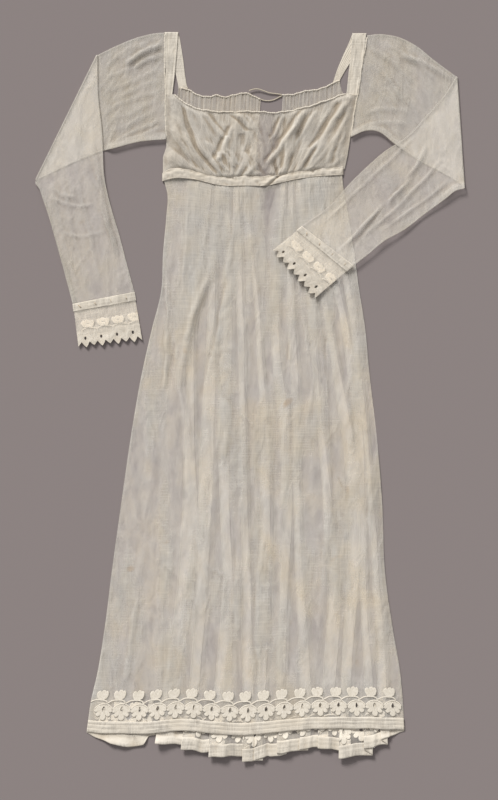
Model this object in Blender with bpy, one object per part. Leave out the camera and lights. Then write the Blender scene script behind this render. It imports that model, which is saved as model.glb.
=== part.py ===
"""Day dress of thin white cotton, cut with a high waist and long sleeves, laid flat on its back.

The dress lies on the surface Z = 0, with the shoulders towards +Y. Tables hold millimetres: x is
measured from the middle of the dress, and down from the fold of the shoulders towards the hem.
Each cut piece is one closed wall of cloth, built from the grid of points down its middle.
"""

import math
from collections import namedtuple

import bmesh
import bpy
import numpy as np

MM = 0.001

# Driving dimensions, in millimetres
LENGTH = 1290.0  # from the shoulder fold to the lowest fold of the back hem
CLOTH = 1.0  # thickness of one wall
SEAM = 0.3  # clearance between pieces at a seam, and between layers
PITCH = CLOTH + SEAM  # from one layer to the next
HEM_BAND = 21.0  # depth of the hem band
HEM_DOWN = 1239.0  # lower edge of the front hem, where it is level
BAND_DOWN = HEM_DOWN - HEM_BAND
HEM_SEAM = 0.9  # measured down the dress, because the folds cross the seam at a slant
WAIST_DOWN = 264.0  # where the skirt starts, on average

# Heights of the layers, at the middle of the wall
FLOOR_LAYER = CLOTH / 2
SECOND_LAYER = FLOOR_LAYER + PITCH
THIRD_LAYER = SECOND_LAYER + PITCH
FRONT_LAYER = THIRD_LAYER + PITCH

# The worked border
EYELET_COUNT = 17
EYELET_PITCH = 32.2
EYELET_FIRST = -262.0
EYELET_DOWN = 1196.0
EYELET_WIDE = 5.0
EYELET_TALL = 9.0
EYELET_SIDES = 8
EYELET_POINT = 0.4  # how much narrower the drop gets towards its point
EYELET_FULL = 1.15  # makes up the width that the narrowing takes

SHARP_ANGLE = math.radians(40)

Outline = namedtuple("Outline", "down left right")
SKIRT_OUTLINE = (
    Outline(264, -152, 163),
    Outline(290, -146, 166),
    Outline(326, -148, 173),
    Outline(393, -154, 184),
    Outline(457, -157, 193),
    Outline(527, -174, 204),
    Outline(602, -191, 211),
    Outline(704, -209, 223),
    Outline(835, -228, 234),
    Outline(958, -245, 239),
    Outline(1060, -258, 253),
    Outline(1138, -271, 266),
    Outline(1181, -281, 270),
    Outline(1239, -289, 273),
)

# Where each fold of the back has its edge, at five distances down, how wide the fold is at the waist
# and at the hem, and how far its strip hangs below the front hem at its left and right ends
Pleat = namedtuple("Pleat", "waist hip knee calf hem fold_waist fold_hem drop_left drop_right")
PLEAT_DOWNS = (273, 527, 740, 970, 1244)
PLEATS = (
    Pleat(-76, -106, -119, -127, -168, 7, 24, 18, 21),
    Pleat(-60, -78, -87, -94, -122, 7, 22, 28, 35),
    Pleat(-44, -50, -55, -51, -73, 7, 24, 43, 41),
    Pleat(-28, -21, -18, -12, -13, 7, 12, 51, 50),
    Pleat(-12, 9, 22, 14, 8, 6, 14, 50, 37),
    Pleat(55, 41, 55, 53, 48, 6, 16, 36, 33),
    Pleat(69, 67, 75, 85, 88, 6, 14, 32, 25),
    Pleat(83, 104, 126, 135, 120, 6, 16, 28, 32),
    Pleat(97, 138, 165, 170, 157, 6, 20, 46, 39),
    Pleat(111, 160, 187, 197, 202, 6, 14, 28, 21),
    Pleat(125, 179, 206, 216, 233, 5, 10, 14, -1),
)
PLEAT_CREST = 2.0  # how far a strip runs level past the fold beneath it
PLEAT_FALL = 3.0  # and then falls to the surface within this width
PLEAT_POINTS = 6  # points across the back for each fold
SKIRT_ROWS = (264, 290, 319, 358, 408, 462, 527, 630, 740, 860, 980, 1100)
FRONT_COLUMNS = 30
RIPPLE = 0.8  # the front stands this much higher over each fold
RIPPLE_SPREAD = 8.0
SIDE_RISE_FROM = 45.0  # left of the first fold, the front starts to rise this far out
SIDE_RISE = 38.0  # and has risen within this width
WAIST_FADE = 6  # how fast the slope of the waist seam dies away down the skirt
HEM_FADE = 4  # and that of the front hem, up the skirt
DROP_FADE = 1.5  # and the uneven hang of the back

# The strip left of the first fold: how far across it is, and how far it hangs below the front hem
FirstStrip = namedtuple("FirstStrip", "across drop")
FIRST_STRIP = (
    FirstStrip(0.0, 0),
    FirstStrip(0.2, 11),
    FirstStrip(0.45, 24),
    FirstStrip(0.82, 28),
    FirstStrip(0.9, 3),
)

Slit = namedtuple("Slit", "down left right")
BACK_SLIT = (
    Slit(264, 8, 49),
    Slit(319, 23, 34),
    Slit(358, 27, 31),
    Slit(527, 27, 30),
    Slit(740, 43, 46),
    Slit(970, 39, 42),
    Slit(1244, 36, 39),
)
SLIT_ENDS = 358
SLIT_AFTER = 4  # the slit follows this fold, counted from 0
SLIT_COLUMN = len(FIRST_STRIP) + PLEAT_POINTS * (SLIT_AFTER + 1)

# The front hem rises and falls a little as it lies
HemWave = namedtuple("HemWave", "x down")
HEM_WAVE = (
    HemWave(-289, 0),
    HemWave(-220, 3),
    HemWave(-155, 0),
    HemWave(-115, -3),
    HemWave(-55, 3),
    HemWave(0, 4),
    HemWave(60, -2),
    HemWave(115, -6),
    HemWave(205, -7),
    HemWave(273, -4),
)

Band = namedtuple("Band", "x top bottom")
WAISTBAND = (
    Band(-156, 251, 265),
    Band(-136, 242, 260),
    Band(-103, 246, 261),
    Band(-53, 258, 272),
    Band(-4, 256, 273),
    Band(34, 255, 272),
    Band(51, 254, 268),
    Band(96, 247, 259),
    Band(166, 238, 253),
)
BAND_CLOTH = 1.4  # the waistband is doubled cloth
BAND_BACK_POINTS = 9
BAND_FRONT_POINTS = 21
BAND_END = 2.0  # how far inside the side fold each back stretch stops
BAND_SHOULDER = 3.0  # and each end of the front stretch
BAND_FALL = 1.2  # how much lower the front stretch is at its ends
BAND_FALL_WIDE = 20.0

Neck = namedtuple("Neck", "x down")
FRONT_NECK = (
    Neck(-150, 108),
    Neck(-137, 109),
    Neck(-112, 127),
    Neck(-88, 136),
    Neck(-58, 140),
    Neck(12, 140),
    Neck(42, 142),
    Neck(96, 133),
    Neck(145, 117),
    Neck(168, 109),
    Neck(192, 109),
)
BACK_NECK_LEFT = (
    Neck(-127, 97),
    Neck(-111, 101),
    Neck(-92, 110),
    Neck(-71, 114),
    Neck(-58, 110),
    Neck(-46, 115),
    Neck(-28, 110),
    Neck(-5, 108),
    Neck(19, 118),
)
BACK_NECK_RIGHT = (
    Neck(57, 111),
    Neck(83, 108),
    Neck(106, 102),
    Neck(121, 101),
    Neck(136, 95),
    Neck(149, 88),
    Neck(159, 86),
)

# The armhole seams run almost straight from the shoulder to the underarm
Seam = namedtuple("Seam", "top_x top_down foot_x foot_down")
ARMHOLE_LEFT = Seam(-151.5, 2, -148.5, 190)
ARMHOLE_RIGHT = Seam(207, 7, 178, 186)

Side = namedtuple("Side", "down left right")
BODICE_SIDES = (
    Side(204, -148, 175),
    Side(222, -154, 172),
    Side(250, -154, 166),
)

# The folds of the bodice front run from the neck and the shoulders to the middle of the waist
Fold = namedtuple("Fold", "top_x top_down foot_x foot_down height spread")
BODICE_FOLDS = (
    Fold(-138, 130, -95, 238, 2.2, 5),
    Fold(-132, 118, -76, 244, 2.8, 5),
    Fold(-112, 128, -52, 254, 4.2, 5),
    Fold(-84, 138, -50, 190, 2.4, 5),
    Fold(-50, 160, -46, 250, 3.6, 7),
    Fold(-36, 142, -24, 232, 3.0, 6),
    Fold(-22, 143, 8, 240, 3.0, 5),
    Fold(4, 145, 20, 244, 2.4, 5),
    Fold(58, 142, 22, 240, 2.8, 5),
    Fold(76, 140, 36, 248, 3.2, 5),
    Fold(104, 132, 44, 246, 4.0, 5),
    Fold(132, 124, 70, 246, 3.2, 6),
    Fold(160, 116, 92, 240, 4.2, 6),
    Fold(176, 120, 124, 236, 2.8, 6),
    Fold(176, 160, 148, 232, 2.2, 6),
)
FOLD_LEAD = 0.25  # the share of its length over which a fold runs on above its top
FOLD_TAIL = 0.15  # and below its foot
FOLD_SOFT = 0.33  # the share over which it rises
BODICE_COLUMNS = 42
BODICE_ROWS = 9
BODICE_NECK_DOWN = 109.0  # the level of the neck casing's ends
BODICE_SIDE_FLAT = 25.0  # the folds die away within this distance of the side
BODICE_NECK_FLAT = 0.15  # and within this share of the way down from the neck
BODICE_NECK_LEFT_OVER = 0.2  # down to this share of their height
BACK_COLUMNS = 16
BACK_ROWS = 6
BACK_INNER_LEFT = 19.0  # where each back piece ends at the neck, by the opening
BACK_INNER_RIGHT = 58.0
GATHER_PITCH = 15.0
GATHER_DEPTH = 0.9
GATHER_LONG = 14.0

# A strap lies as one strip, down the back from the shoulder fold and down the front over it
StrapRow = namedtuple("StrapRow", "down left right")
STRAP_BACK_LEFT = (
    StrapRow(2, -151, -127),
    StrapRow(12, -149, -124),
    StrapRow(50, -139, -118),
    StrapRow(76, -131, -115),
    StrapRow(95, -127, -112),
)
STRAP_FRONT_LEFT = (
    StrapRow(2, -151, -127),
    StrapRow(40, -150, -130),
    StrapRow(75, -149, -133),
    StrapRow(107, -149, -137),
)
STRAP_BACK_RIGHT = (
    StrapRow(4, 181, 205),
    StrapRow(22, 174, 196),
    StrapRow(39, 166, 186),
    StrapRow(60, 157, 174),
    StrapRow(83, 149, 160),
)
STRAP_FRONT_RIGHT = (
    StrapRow(4, 181, 206),
    StrapRow(40, 178, 201),
    StrapRow(75, 174, 195),
    StrapRow(107, 171, 190),
)
STRAP_COLUMNS = 3
STRAP_TOP_LEFT = 0.6  # how far down the shoulder fold lies
STRAP_TOP_RIGHT = 2.6

# A sleeve as it lies: the upper arm on the surface, then the fold at the elbow, then the forearm on
# top. Edge a starts at the shoulder, and edge b at the underarm. Lift is the space under the row.
Across = namedtuple("Across", "a_x a_down b_x b_down lift")
LEFT_UPPER = (
    Across(-151.5, 2, -148.5, 190, 0),
    Across(-172, 4, -186, 193, 0),
    Across(-203, 12, -212, 198, 0),
    Across(-235, 25, -241, 206, 0),
    Across(-258, 36, -266, 212, 0),
    Across(-266, 40, -320, 234, 0),
)
LEFT_ELBOW = Across(-270, 42, -378, 262, 0)
LEFT_FOREARM = (
    Across(-269, 110, -379, 268, 2.6),
    Across(-262, 177, -371, 280, 2.6),
    Across(-259, 250, -364, 301, 2.6),
    Across(-249, 301, -354, 331, 1.6),
    Across(-232, 359, -340, 381, 0.2),
    Across(-220, 405, -328, 425, 0),
    Across(-205, 461, -313, 482, 0),
)
LEFT_CUFF_END = Across(-190, 548, -303, 560, 0)
LEFT_OUTWARD = (-0.9, 0.44)

RIGHT_UPPER = (
    Across(207, 7, 178, 186, 0),
    Across(233, 5, 205, 175, 0),
    Across(265, 11, 230, 178, 0),
    Across(296, 27, 258, 200, 0),
    Across(322, 48, 300, 228, 0),
    Across(346, 66, 346, 252, 0),
)
RIGHT_ELBOW = Across(365, 80, 378, 272, 0)
RIGHT_FOREARM = (
    Across(357, 93, 378, 277, 2.6),
    Across(343, 115, 362, 282, 2.6),
    Across(318, 143, 343, 297, 2.6),
    Across(278, 186, 306, 324, 2.6),
    Across(234, 216, 274, 349, 4.4),
    Across(182, 264, 237, 370, 6.5),
    Across(142, 308, 209, 393, 6.5),
    Across(92, 345, 182, 414, 6.5),
)
RIGHT_CUFF_END = Across(38, 389, 112, 474, 6.5)
RIGHT_OUTWARD = (1.0, -0.07)
ELBOW_TURN = 2.0  # how far the outer cloth stands out past the elbow fold
SLEEVE_COLUMNS = 8

# The cuff band and the worked edging below it, as shares of the way from the sleeve's end to the tip
CUFF_BAND_SHARE = 0.17
SCALLOPS = 8
SCALLOP_DEPTH = 9.0
SCALLOP_FADE = 3  # how fast the scallops die away up the edging
CUFF_COLUMNS = 32
CUFF_ROWS = 3
CUFF_EYELETS = 4
CUFF_EYELET_WIDE = 4.4
CUFF_EYELET_TALL = 6.0
CUFF_EYELET_AT = 0.76

CASING_RADIUS = 1.4
CASING_LOW = CASING_RADIUS + 0.1  # the back casings, just clear of the surface
CASING_HIGH = SECOND_LAYER + 1.0
Casing = namedtuple("Casing", "first last points")
CASING_FRONT = Casing(-134, 169, 30)
CASING_BACK_LEFT = Casing(-122, 19, 26)
CASING_BACK_RIGHT = Casing(57, 158, 20)
NECK_EDGE = 2 * CASING_RADIUS + 1.1  # the gathered edge starts this far below the casing's top

STRING_RADIUS = 0.9
UPPER_POINTS = 16
LOWER_POINTS = 12
Strand = namedtuple("Strand", "x down height")
UPPER_STRAND = (
    Strand(-2, 104.5, 3.4),
    Strand(6, 102, 3.6),
    Strand(14, 101.5, 3.4),
    Strand(24, 104.5, 2.8),
    Strand(34, 108, 2.2),
    Strand(45, 109.5, 1.8),
    Strand(52, 110.4, 1.6),
    Strand(56.6, 111.3, 1.5),
)
LOWER_STRAND = (
    Strand(19.35, 119.55, 1.5),
    Strand(25, 121.4, 1.3),
    Strand(33, 122, 1.1),
    Strand(41, 120.6, 1.1),
    Strand(48, 117.6, 1.2),
    Strand(52.6, 114.9, 1.4),
    Strand(56.4, 113.5, 1.5),
)

MUSLIN = (0.66, 0.62, 0.54, 1.0)
WHITEWORK = (0.78, 0.75, 0.67, 1.0)
STRING = (0.72, 0.68, 0.58, 1.0)


def smooth(keys, values, at):
    """A smooth curve through the values, with no overshoot between equal neighbours."""
    keys = np.asarray(keys, float)
    values = np.asarray(values, float)
    slopes = np.gradient(values, keys)
    at = float(np.clip(at, keys[0], keys[-1]))
    i = int(np.clip(np.searchsorted(keys, at) - 1, 0, len(keys) - 2))
    span = keys[i + 1] - keys[i]
    t = (at - keys[i]) / span
    rise = values[i + 1] - values[i]
    start = slopes[i] * span
    end = slopes[i + 1] * span
    return float(values[i] + t * (start + t * ((3 * rise - 2 * start - end) + t * (start + end - 2 * rise))))


def column(table, key, value, at):
    """Reads one column of a table between its rows."""
    return smooth([getattr(row, key) for row in table], [getattr(row, value) for row in table], at)


def ease(t):
    """Zero below 0, one above 1, and a smooth rise between."""
    t = min(max(t, 0.0), 1.0)
    return t * t * (3 - 2 * t)


def place(x, down, height):
    """Millimetres on the dress to metres in the world."""
    return (x * MM, (LENGTH / 2 - down) * MM, height * MM)


def material(name, colour, rough):
    made = bpy.data.materials.new(name)
    made.use_nodes = True
    shader = made.node_tree.nodes["Principled BSDF"]
    shader.inputs["Base Color"].default_value = colour
    shader.inputs["Roughness"].default_value = rough
    return made


def add_object(name, data, finish):
    made = bpy.data.objects.new(name, data)
    made.data.materials.append(finish)
    DRESS.objects.link(made)
    return made


def mitres(mid, cells, wrap):
    """For each point, the vector that moves every face beside it out by one unit."""
    rows, cols = mid.shape[:2]
    normals = {}
    for r, c in cells:
        after = (c + 1) % cols if wrap else c + 1
        across = mid[r, after] + mid[r + 1, after] - mid[r, c] - mid[r + 1, c]
        along = mid[r + 1, c] + mid[r + 1, after] - mid[r, c] - mid[r, after]
        normal = np.cross(along, across)
        normal /= np.linalg.norm(normal)
        for corner in ((r, c), (r + 1, c), (r, after), (r + 1, after)):
            normals.setdefault(corner, []).append(normal)
    flat_share = 0.15
    out = np.zeros_like(mid)
    for corner, beside in normals.items():
        beside = np.array(beside)
        out[corner] = np.linalg.pinv(beside, rcond=flat_share) @ np.ones(len(beside))
    return out


def wall(name, points, thickness, finish, wrap=False, missing=()):
    """A closed wall of even thickness round a grid of points, given in millimetres on the dress.

    The grid's rows run down the piece and its columns across it. With wrap, the columns close into
    a ring. Cells that are missing are left open, with an edge all round.
    """
    mid = np.array([[place(*point) for point in row] for row in points])
    rows, cols = mid.shape[:2]
    spans = cols if wrap else cols - 1
    cells = [(r, c) for r in range(rows - 1) for c in range(spans) if (r, c) not in missing]
    half = mitres(mid, cells, wrap) * thickness * MM / 2
    used = sorted({corner for r, c in cells for corner in cell_corners(r, c, cols)})
    index = {corner: i for i, corner in enumerate(used)}
    over = [mid[corner] + half[corner] for corner in used]
    under = [mid[corner] - half[corner] for corner in used]
    for point in over + under:
        point[2] = max(point[2], 0.0)
    faces = []
    edges = set()
    for r, c in cells:
        ring = [index[corner] for corner in cell_corners(r, c, cols)]
        faces.append(ring)
        faces.append([i + len(used) for i in reversed(ring)])
        edges.update(zip(ring, ring[1:] + ring[:1]))
    for a, b in sorted(edges):
        if (b, a) not in edges:
            faces.append([b, a, a + len(used), b + len(used)])
    mesh = bpy.data.meshes.new(name)
    mesh.from_pydata([tuple(point) for point in over + under], [], faces)
    mesh.shade_smooth()
    mesh.set_sharp_from_angle(angle=SHARP_ANGLE)
    return add_object(name, mesh, finish)


def cell_corners(r, c, cols):
    """The four corners of a cell, in the order that faces the cloth's right side."""
    after = (c + 1) % cols
    return ((r, c), (r + 1, c), (r + 1, after), (r, after))


def tube(name, route, radius, finish):
    """A round cord or casing along points given in millimetres on the dress."""
    curve = bpy.data.curves.new(name, "CURVE")
    curve.dimensions = "3D"
    curve.bevel_depth = radius * MM
    curve.bevel_resolution = 2
    curve.use_fill_caps = True
    spline = curve.splines.new("POLY")
    spline.points.add(len(route) - 1)
    for point, spot in zip(spline.points, route):
        point.co = (*place(*spot), 1.0)
    return add_object(name, curve, finish)


def rounded(table, count):
    """Points read evenly from a smooth curve through a route of x, down and height."""
    steps = np.arange(len(table))
    at = np.linspace(0, len(table) - 1, count)
    return [tuple(smooth(steps, [row[i] for row in table], t) for i in range(3)) for t in at]


def drop_shape(x, down, wide, tall, low, high, turn=0.0):
    """A prism with the outline of an eyelet, pointed at its lower end, as points and faces."""
    ring = []
    for i in range(EYELET_SIDES):
        angle = 2 * math.pi * i / EYELET_SIDES
        narrow = 1 - EYELET_POINT + EYELET_POINT * math.cos(angle)
        side = wide / 2 * math.sin(angle) * math.sqrt(narrow) * EYELET_FULL
        rise = tall / 2 * math.cos(angle)
        ring.append(
            (
                x + side * math.cos(turn) + rise * math.sin(turn),
                down - rise * math.cos(turn) + side * math.sin(turn),
            )
        )
    points = [place(px, py, low) for px, py in ring] + [place(px, py, high) for px, py in ring]
    count = EYELET_SIDES
    faces = [list(range(count)), list(range(2 * count - 1, count - 1, -1))]
    for i in range(count):
        after = (i + 1) % count
        faces.append([i, i + count, after + count, after])
    return points, faces


def cut_eyelets(piece, drops):
    """Cuts prisms through a wall, and keeps the cutter out of the model."""
    points = []
    faces = []
    for drop_points, drop_faces in drops:
        start = len(points)
        points += drop_points
        faces += [[i + start for i in face] for face in drop_faces]
    mesh = bpy.data.meshes.new(piece.name + "_eyelets")
    mesh.from_pydata(points, [], faces)
    shaped = bmesh.new()
    shaped.from_mesh(mesh)
    bmesh.ops.recalc_face_normals(shaped, faces=shaped.faces)
    shaped.to_mesh(mesh)
    shaped.free()
    cutter = bpy.data.objects.new(mesh.name, mesh)
    CUTTERS.objects.link(cutter)
    cutter.hide_render = True
    cutter.display_type = "WIRE"
    cut = piece.modifiers.new("eyelets", "BOOLEAN")
    cut.operation = "DIFFERENCE"
    cut.object = cutter


def skirt_edge(side, down):
    return column(SKIRT_OUTLINE, "down", side, down)


def pleat_edge(pleat, down):
    return smooth(PLEAT_DOWNS, pleat[: len(PLEAT_DOWNS)], down)


def pleat_fold(pleat, down):
    share = min(max((down - WAIST_DOWN) / (HEM_DOWN - WAIST_DOWN), 0), 1)
    return pleat.fold_waist + (pleat.fold_hem - pleat.fold_waist) * share


def back_profile(down):
    """The back of the skirt across one level: x, height and hem drop of each point along the cloth."""
    left = skirt_edge("left", down)
    right = skirt_edge("right", down)
    slit_left = column(BACK_SLIT, "down", "left", down)
    slit_right = column(BACK_SLIT, "down", "right", down)
    first = pleat_edge(PLEATS[0], down)
    profile = [(left + (first - left) * strip.across, FLOOR_LAYER, strip.drop) for strip in FIRST_STRIP]
    last_drop = FIRST_STRIP[-1].drop
    for number, pleat in enumerate(PLEATS):
        edge = pleat_edge(pleat, down)
        fold = edge + pleat_fold(pleat, down)
        crest = fold + PLEAT_CREST
        profile.append((fold, FLOOR_LAYER, last_drop))
        profile.append((fold, SECOND_LAYER, last_drop))
        profile.append((edge, SECOND_LAYER, pleat.drop_left))
        profile.append((edge, THIRD_LAYER, pleat.drop_left))
        profile.append((crest, THIRD_LAYER, (pleat.drop_left + pleat.drop_right) / 2))
        profile.append((crest + PLEAT_FALL, FLOOR_LAYER, (pleat.drop_left + 2 * pleat.drop_right) / 3))
        if number == SLIT_AFTER:
            middle = (pleat.drop_left + pleat.drop_right) / 2
            profile.append((slit_left, FLOOR_LAYER, middle))
            profile.append((slit_right, FLOOR_LAYER, middle))
        last_drop = pleat.drop_right
    profile.append((right, FLOOR_LAYER, last_drop))
    return profile


def waist_bend(x, share):
    """How far the sloping waist seam moves a point of the skirt down."""
    return (column(WAISTBAND, "x", "bottom", x) + 2 * SEAM - WAIST_DOWN) * max(0.0, 1 - share) ** WAIST_FADE


def back_point(x, height, drop, down):
    """The waist seam and the hem bend the level rows."""
    share = (down - WAIST_DOWN) / (HEM_DOWN - WAIST_DOWN)
    return (x, down + waist_bend(x, share) + drop * share ** DROP_FADE, height)


def back_grid(downs):
    return [[back_point(*spot, down) for spot in back_profile(down)] for down in downs]


def skirt_back():
    downs = (*SKIRT_ROWS, BAND_DOWN - HEM_SEAM)
    missing = {(r, SLIT_COLUMN) for r, down in enumerate(downs) if down < SLIT_ENDS}
    piece = wall("skirt_back", back_grid(downs), CLOTH, MATERIALS["muslin"], missing=missing)
    drops = []
    for pleat in PLEATS[1:-1]:
        x = pleat_edge(pleat, HEM_DOWN) + pleat_fold(pleat, HEM_DOWN) + PLEAT_CREST + PLEAT_FALL
        down = EYELET_DOWN + (pleat.drop_left + 2 * pleat.drop_right) / 3
        low, high = -CLOTH, FLOOR_LAYER + CLOTH
        drops.append(drop_shape(x + EYELET_WIDE, down, EYELET_WIDE, EYELET_TALL, low, high))
    cut_eyelets(piece, drops)


def hem_band_back():
    downs = (BAND_DOWN, HEM_DOWN)
    wall("hem_band_back", back_grid(downs), CLOTH, MATERIALS["muslin"])


def front_height(x, down):
    """The front lies on the folds of the back, and comes down to meet it at the side seams."""
    first = pleat_edge(PLEATS[0], down)
    last = pleat_edge(PLEATS[-1], down) + pleat_fold(PLEATS[-1], down) + PLEAT_CREST
    right = skirt_edge("right", down)
    edge = right - CLOTH
    rise = ease((x - first + SIDE_RISE_FROM) / SIDE_RISE)
    fall = ease((edge - x) / (edge - last))
    ripple = 0.0
    for pleat in PLEATS:
        middle = pleat_edge(pleat, down) + pleat_fold(pleat, down) / 2
        ripple += RIPPLE * math.exp(-(((x - middle) / RIPPLE_SPREAD) ** 2))
    return SECOND_LAYER + (FRONT_LAYER - SECOND_LAYER) * min(rise, fall) + min(ripple, RIPPLE) * fall


def front_point(across, down, thick=0.0):
    left = skirt_edge("left", down)
    right = skirt_edge("right", down)
    x = left + (right - left) * across
    share = (down - WAIST_DOWN) / (HEM_DOWN - WAIST_DOWN)
    hem = column(HEM_WAVE, "x", "down", x) * share ** HEM_FADE
    return (x, down + waist_bend(x, share) + hem, front_height(x, down) + thick)


def front_grid(downs, thick=0.0):
    shares = [i / FRONT_COLUMNS for i in range(FRONT_COLUMNS + 1)]
    return [[front_point(share, down, thick) for share in shares] for down in downs]


def skirt_front():
    piece = wall("skirt_front", front_grid((*SKIRT_ROWS, BAND_DOWN - HEM_SEAM)), CLOTH, MATERIALS["muslin"])
    drops = []
    for i in range(EYELET_COUNT):
        x = EYELET_FIRST + i * EYELET_PITCH
        down = EYELET_DOWN + column(HEM_WAVE, "x", "down", x)
        middle = front_height(x, EYELET_DOWN)
        low, high = middle - 1.5 * CLOTH, middle + 1.5 * CLOTH
        drops.append(drop_shape(x, down, EYELET_WIDE, EYELET_TALL, low, high))
    cut_eyelets(piece, drops)


def hem_band_front():
    thick = 2 * CLOTH
    downs = (BAND_DOWN, HEM_DOWN)
    wall("hem_band_front", front_grid(downs, (thick - CLOTH) / 2), thick, MATERIALS["muslin"])


def waistband():
    """One strip: from the centre back to the left, round the front, and back to the centre."""
    left, right = WAISTBAND[0].x + CLOTH, WAISTBAND[-1].x - CLOTH
    slit = BACK_SLIT[0]
    low = BAND_CLOTH / 2
    top = FRONT_LAYER + (BAND_CLOTH - CLOTH) / 2
    side_low, side_high = low + CLOTH, top - BAND_FALL - CLOTH / 2
    route = [(x, low) for x in np.linspace(slit.left, left + BAND_END, BAND_BACK_POINTS)]
    route += [(left, side_low), (left, side_high)]
    for x in np.linspace(left + BAND_SHOULDER, right - BAND_SHOULDER, BAND_FRONT_POINTS):
        inward = min(x - left, right - x)
        route.append((x, top - BAND_FALL * (1 - ease(inward / BAND_FALL_WIDE))))
    route += [(right, side_high), (right, side_low)]
    route += [(x, low) for x in np.linspace(right - BAND_END, slit.right, BAND_BACK_POINTS)]
    grid = []
    for share in (0.0, 0.5, 1.0):
        row = []
        for x, height in route:
            upper = column(WAISTBAND, "x", "top", x) + 2 * SEAM
            lower = column(WAISTBAND, "x", "bottom", x)
            row.append((x, upper + (lower - upper) * share, height))
        grid.append(row)
    wall("waistband", grid, BAND_CLOTH, MATERIALS["band"])


def armhole_x(seam, down):
    share = (down - seam.top_down) / (seam.foot_down - seam.top_down)
    return seam.top_x + (seam.foot_x - seam.top_x) * share


def bodice_side(side, down):
    seam = ARMHOLE_LEFT if side == "left" else ARMHOLE_RIGHT
    inward = SEAM if side == "left" else -SEAM
    if down <= seam.foot_down:
        return armhole_x(seam, down) + inward
    at_foot = armhole_x(seam, seam.foot_down) + inward
    rows = [(seam.foot_down, at_foot)] + [(row.down, getattr(row, side)) for row in BODICE_SIDES]
    return float(np.interp(down, [row[0] for row in rows], [row[1] for row in rows]))


def bodice_fold_height(x, down):
    """How high the gathered cloth of the bodice front stands at a point."""
    height = 0.0
    for fold in BODICE_FOLDS:
        share = (down - fold.top_down) / (fold.foot_down - fold.top_down)
        middle = fold.top_x + (fold.foot_x - fold.top_x) * min(max(share, -FOLD_LEAD), 1 + FOLD_TAIL)
        fade = ease((share + FOLD_LEAD) / FOLD_SOFT) * ease((1 + FOLD_TAIL - share) / FOLD_SOFT)
        height += fold.height * fade * math.exp(-(((x - middle) / fold.spread) ** 2))
    return height


def between(first, last, share):
    return first + (last - first) * share


def bodice_front():
    neck_left, neck_right = bodice_side("left", BODICE_NECK_DOWN), bodice_side("right", BODICE_NECK_DOWN)
    waist = BODICE_SIDES[-1]
    grid = []
    for r in range(BODICE_ROWS + 1):
        share = r / BODICE_ROWS
        edge = between(BODICE_NECK_LEFT_OVER, 1, ease(share / BODICE_NECK_FLAT))
        row = []
        for c in range(BODICE_COLUMNS + 1):
            across = c / BODICE_COLUMNS
            top = column(FRONT_NECK, "x", "down", between(neck_left, neck_right, across)) + NECK_EDGE
            foot = column(WAISTBAND, "x", "top", between(waist.left, waist.right, across))
            down = between(top, foot, share)
            left, right = bodice_side("left", down), bodice_side("right", down)
            x = between(left, right, across)
            inward = ease(min(x - left, right - x) / BODICE_SIDE_FLAT)
            base = between(SECOND_LAYER, FRONT_LAYER, inward * share)
            row.append((x, down, base + bodice_fold_height(x, down) * inward * edge))
        grid.append(row)
    wall("bodice_front", grid, CLOTH, MATERIALS["muslin"])


def gather(x):
    """Small waves of the drawn neck edge."""
    return GATHER_DEPTH * (1 + math.sin(2 * math.pi * x / GATHER_PITCH)) / 2


def bodice_back(name, neck, inner_top, inner_foot, side):
    """One back piece: from the armhole to the centre back, gathered at the neck."""
    underarm = bodice_side("left", ARMHOLE_LEFT.foot_down)
    outer_top = neck[0].x if side == "left" else neck[-1].x
    outer_foot = underarm if side == "left" else BODICE_SIDES[-1].right
    grid = []
    for r in range(BACK_ROWS + 1):
        share = r / BACK_ROWS
        inner = between(inner_top, inner_foot, share)
        row = []
        for c in range(BACK_COLUMNS + 1):
            across = c / BACK_COLUMNS
            top_x = between(*sorted((outer_top, inner_top)), across)
            foot_x = between(*sorted((outer_foot, inner_foot)), across)
            top = column(neck, "x", "down", top_x) + NECK_EDGE
            down = between(top, column(WAISTBAND, "x", "top", foot_x), share)
            outer = max(between(outer_top, bodice_side(side, down), ease(share * 2)), underarm)
            x = between(*sorted((outer, inner)), across)
            waves = gather(x) * (1 - ease((down - top) / GATHER_LONG))
            row.append((x, down, FLOOR_LAYER + waves))
        grid.append(row)
    wall(name, grid, CLOTH, MATERIALS["muslin"])


def casing(name, neck, ends, height):
    """A drawn casing along a neck edge, between two places across the dress."""
    route = []
    for x in np.linspace(ends.first, ends.last, ends.points):
        route.append((x, column(neck, "x", "down", x) + CASING_RADIUS, height))
    tube(name, route, CASING_RADIUS, MATERIALS["band"])


def casings():
    casing("neck_casing_front", FRONT_NECK, CASING_FRONT, CASING_HIGH)
    casing("neck_casing_back_left", BACK_NECK_LEFT, CASING_BACK_LEFT, CASING_LOW)
    casing("neck_casing_back_right", BACK_NECK_RIGHT, CASING_BACK_RIGHT, CASING_LOW)


def strap(name, back_rows, front_rows, down_start):
    """One strip: up the back, over the shoulder fold, and down the front."""
    across = [i / STRAP_COLUMNS for i in range(STRAP_COLUMNS + 1)]
    grid = []
    for row in reversed(back_rows):
        grid.append([(row.left + (row.right - row.left) * a, row.down, FLOOR_LAYER) for a in across])
    turn = front_rows[0]
    turn_height = (FLOOR_LAYER + SECOND_LAYER) / 2
    grid.append(
        [(turn.left + (turn.right - turn.left) * a, down_start, turn_height) for a in across]
    )
    for row in front_rows:
        grid.append([(row.left + (row.right - row.left) * a, row.down, SECOND_LAYER) for a in across])
    wall(name, [list(reversed(row)) for row in grid], CLOTH, MATERIALS["band"])


def blend_rows(first, second, share):
    return Across(*(a + (b - a) * share for a, b in zip(first, second)))


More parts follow.
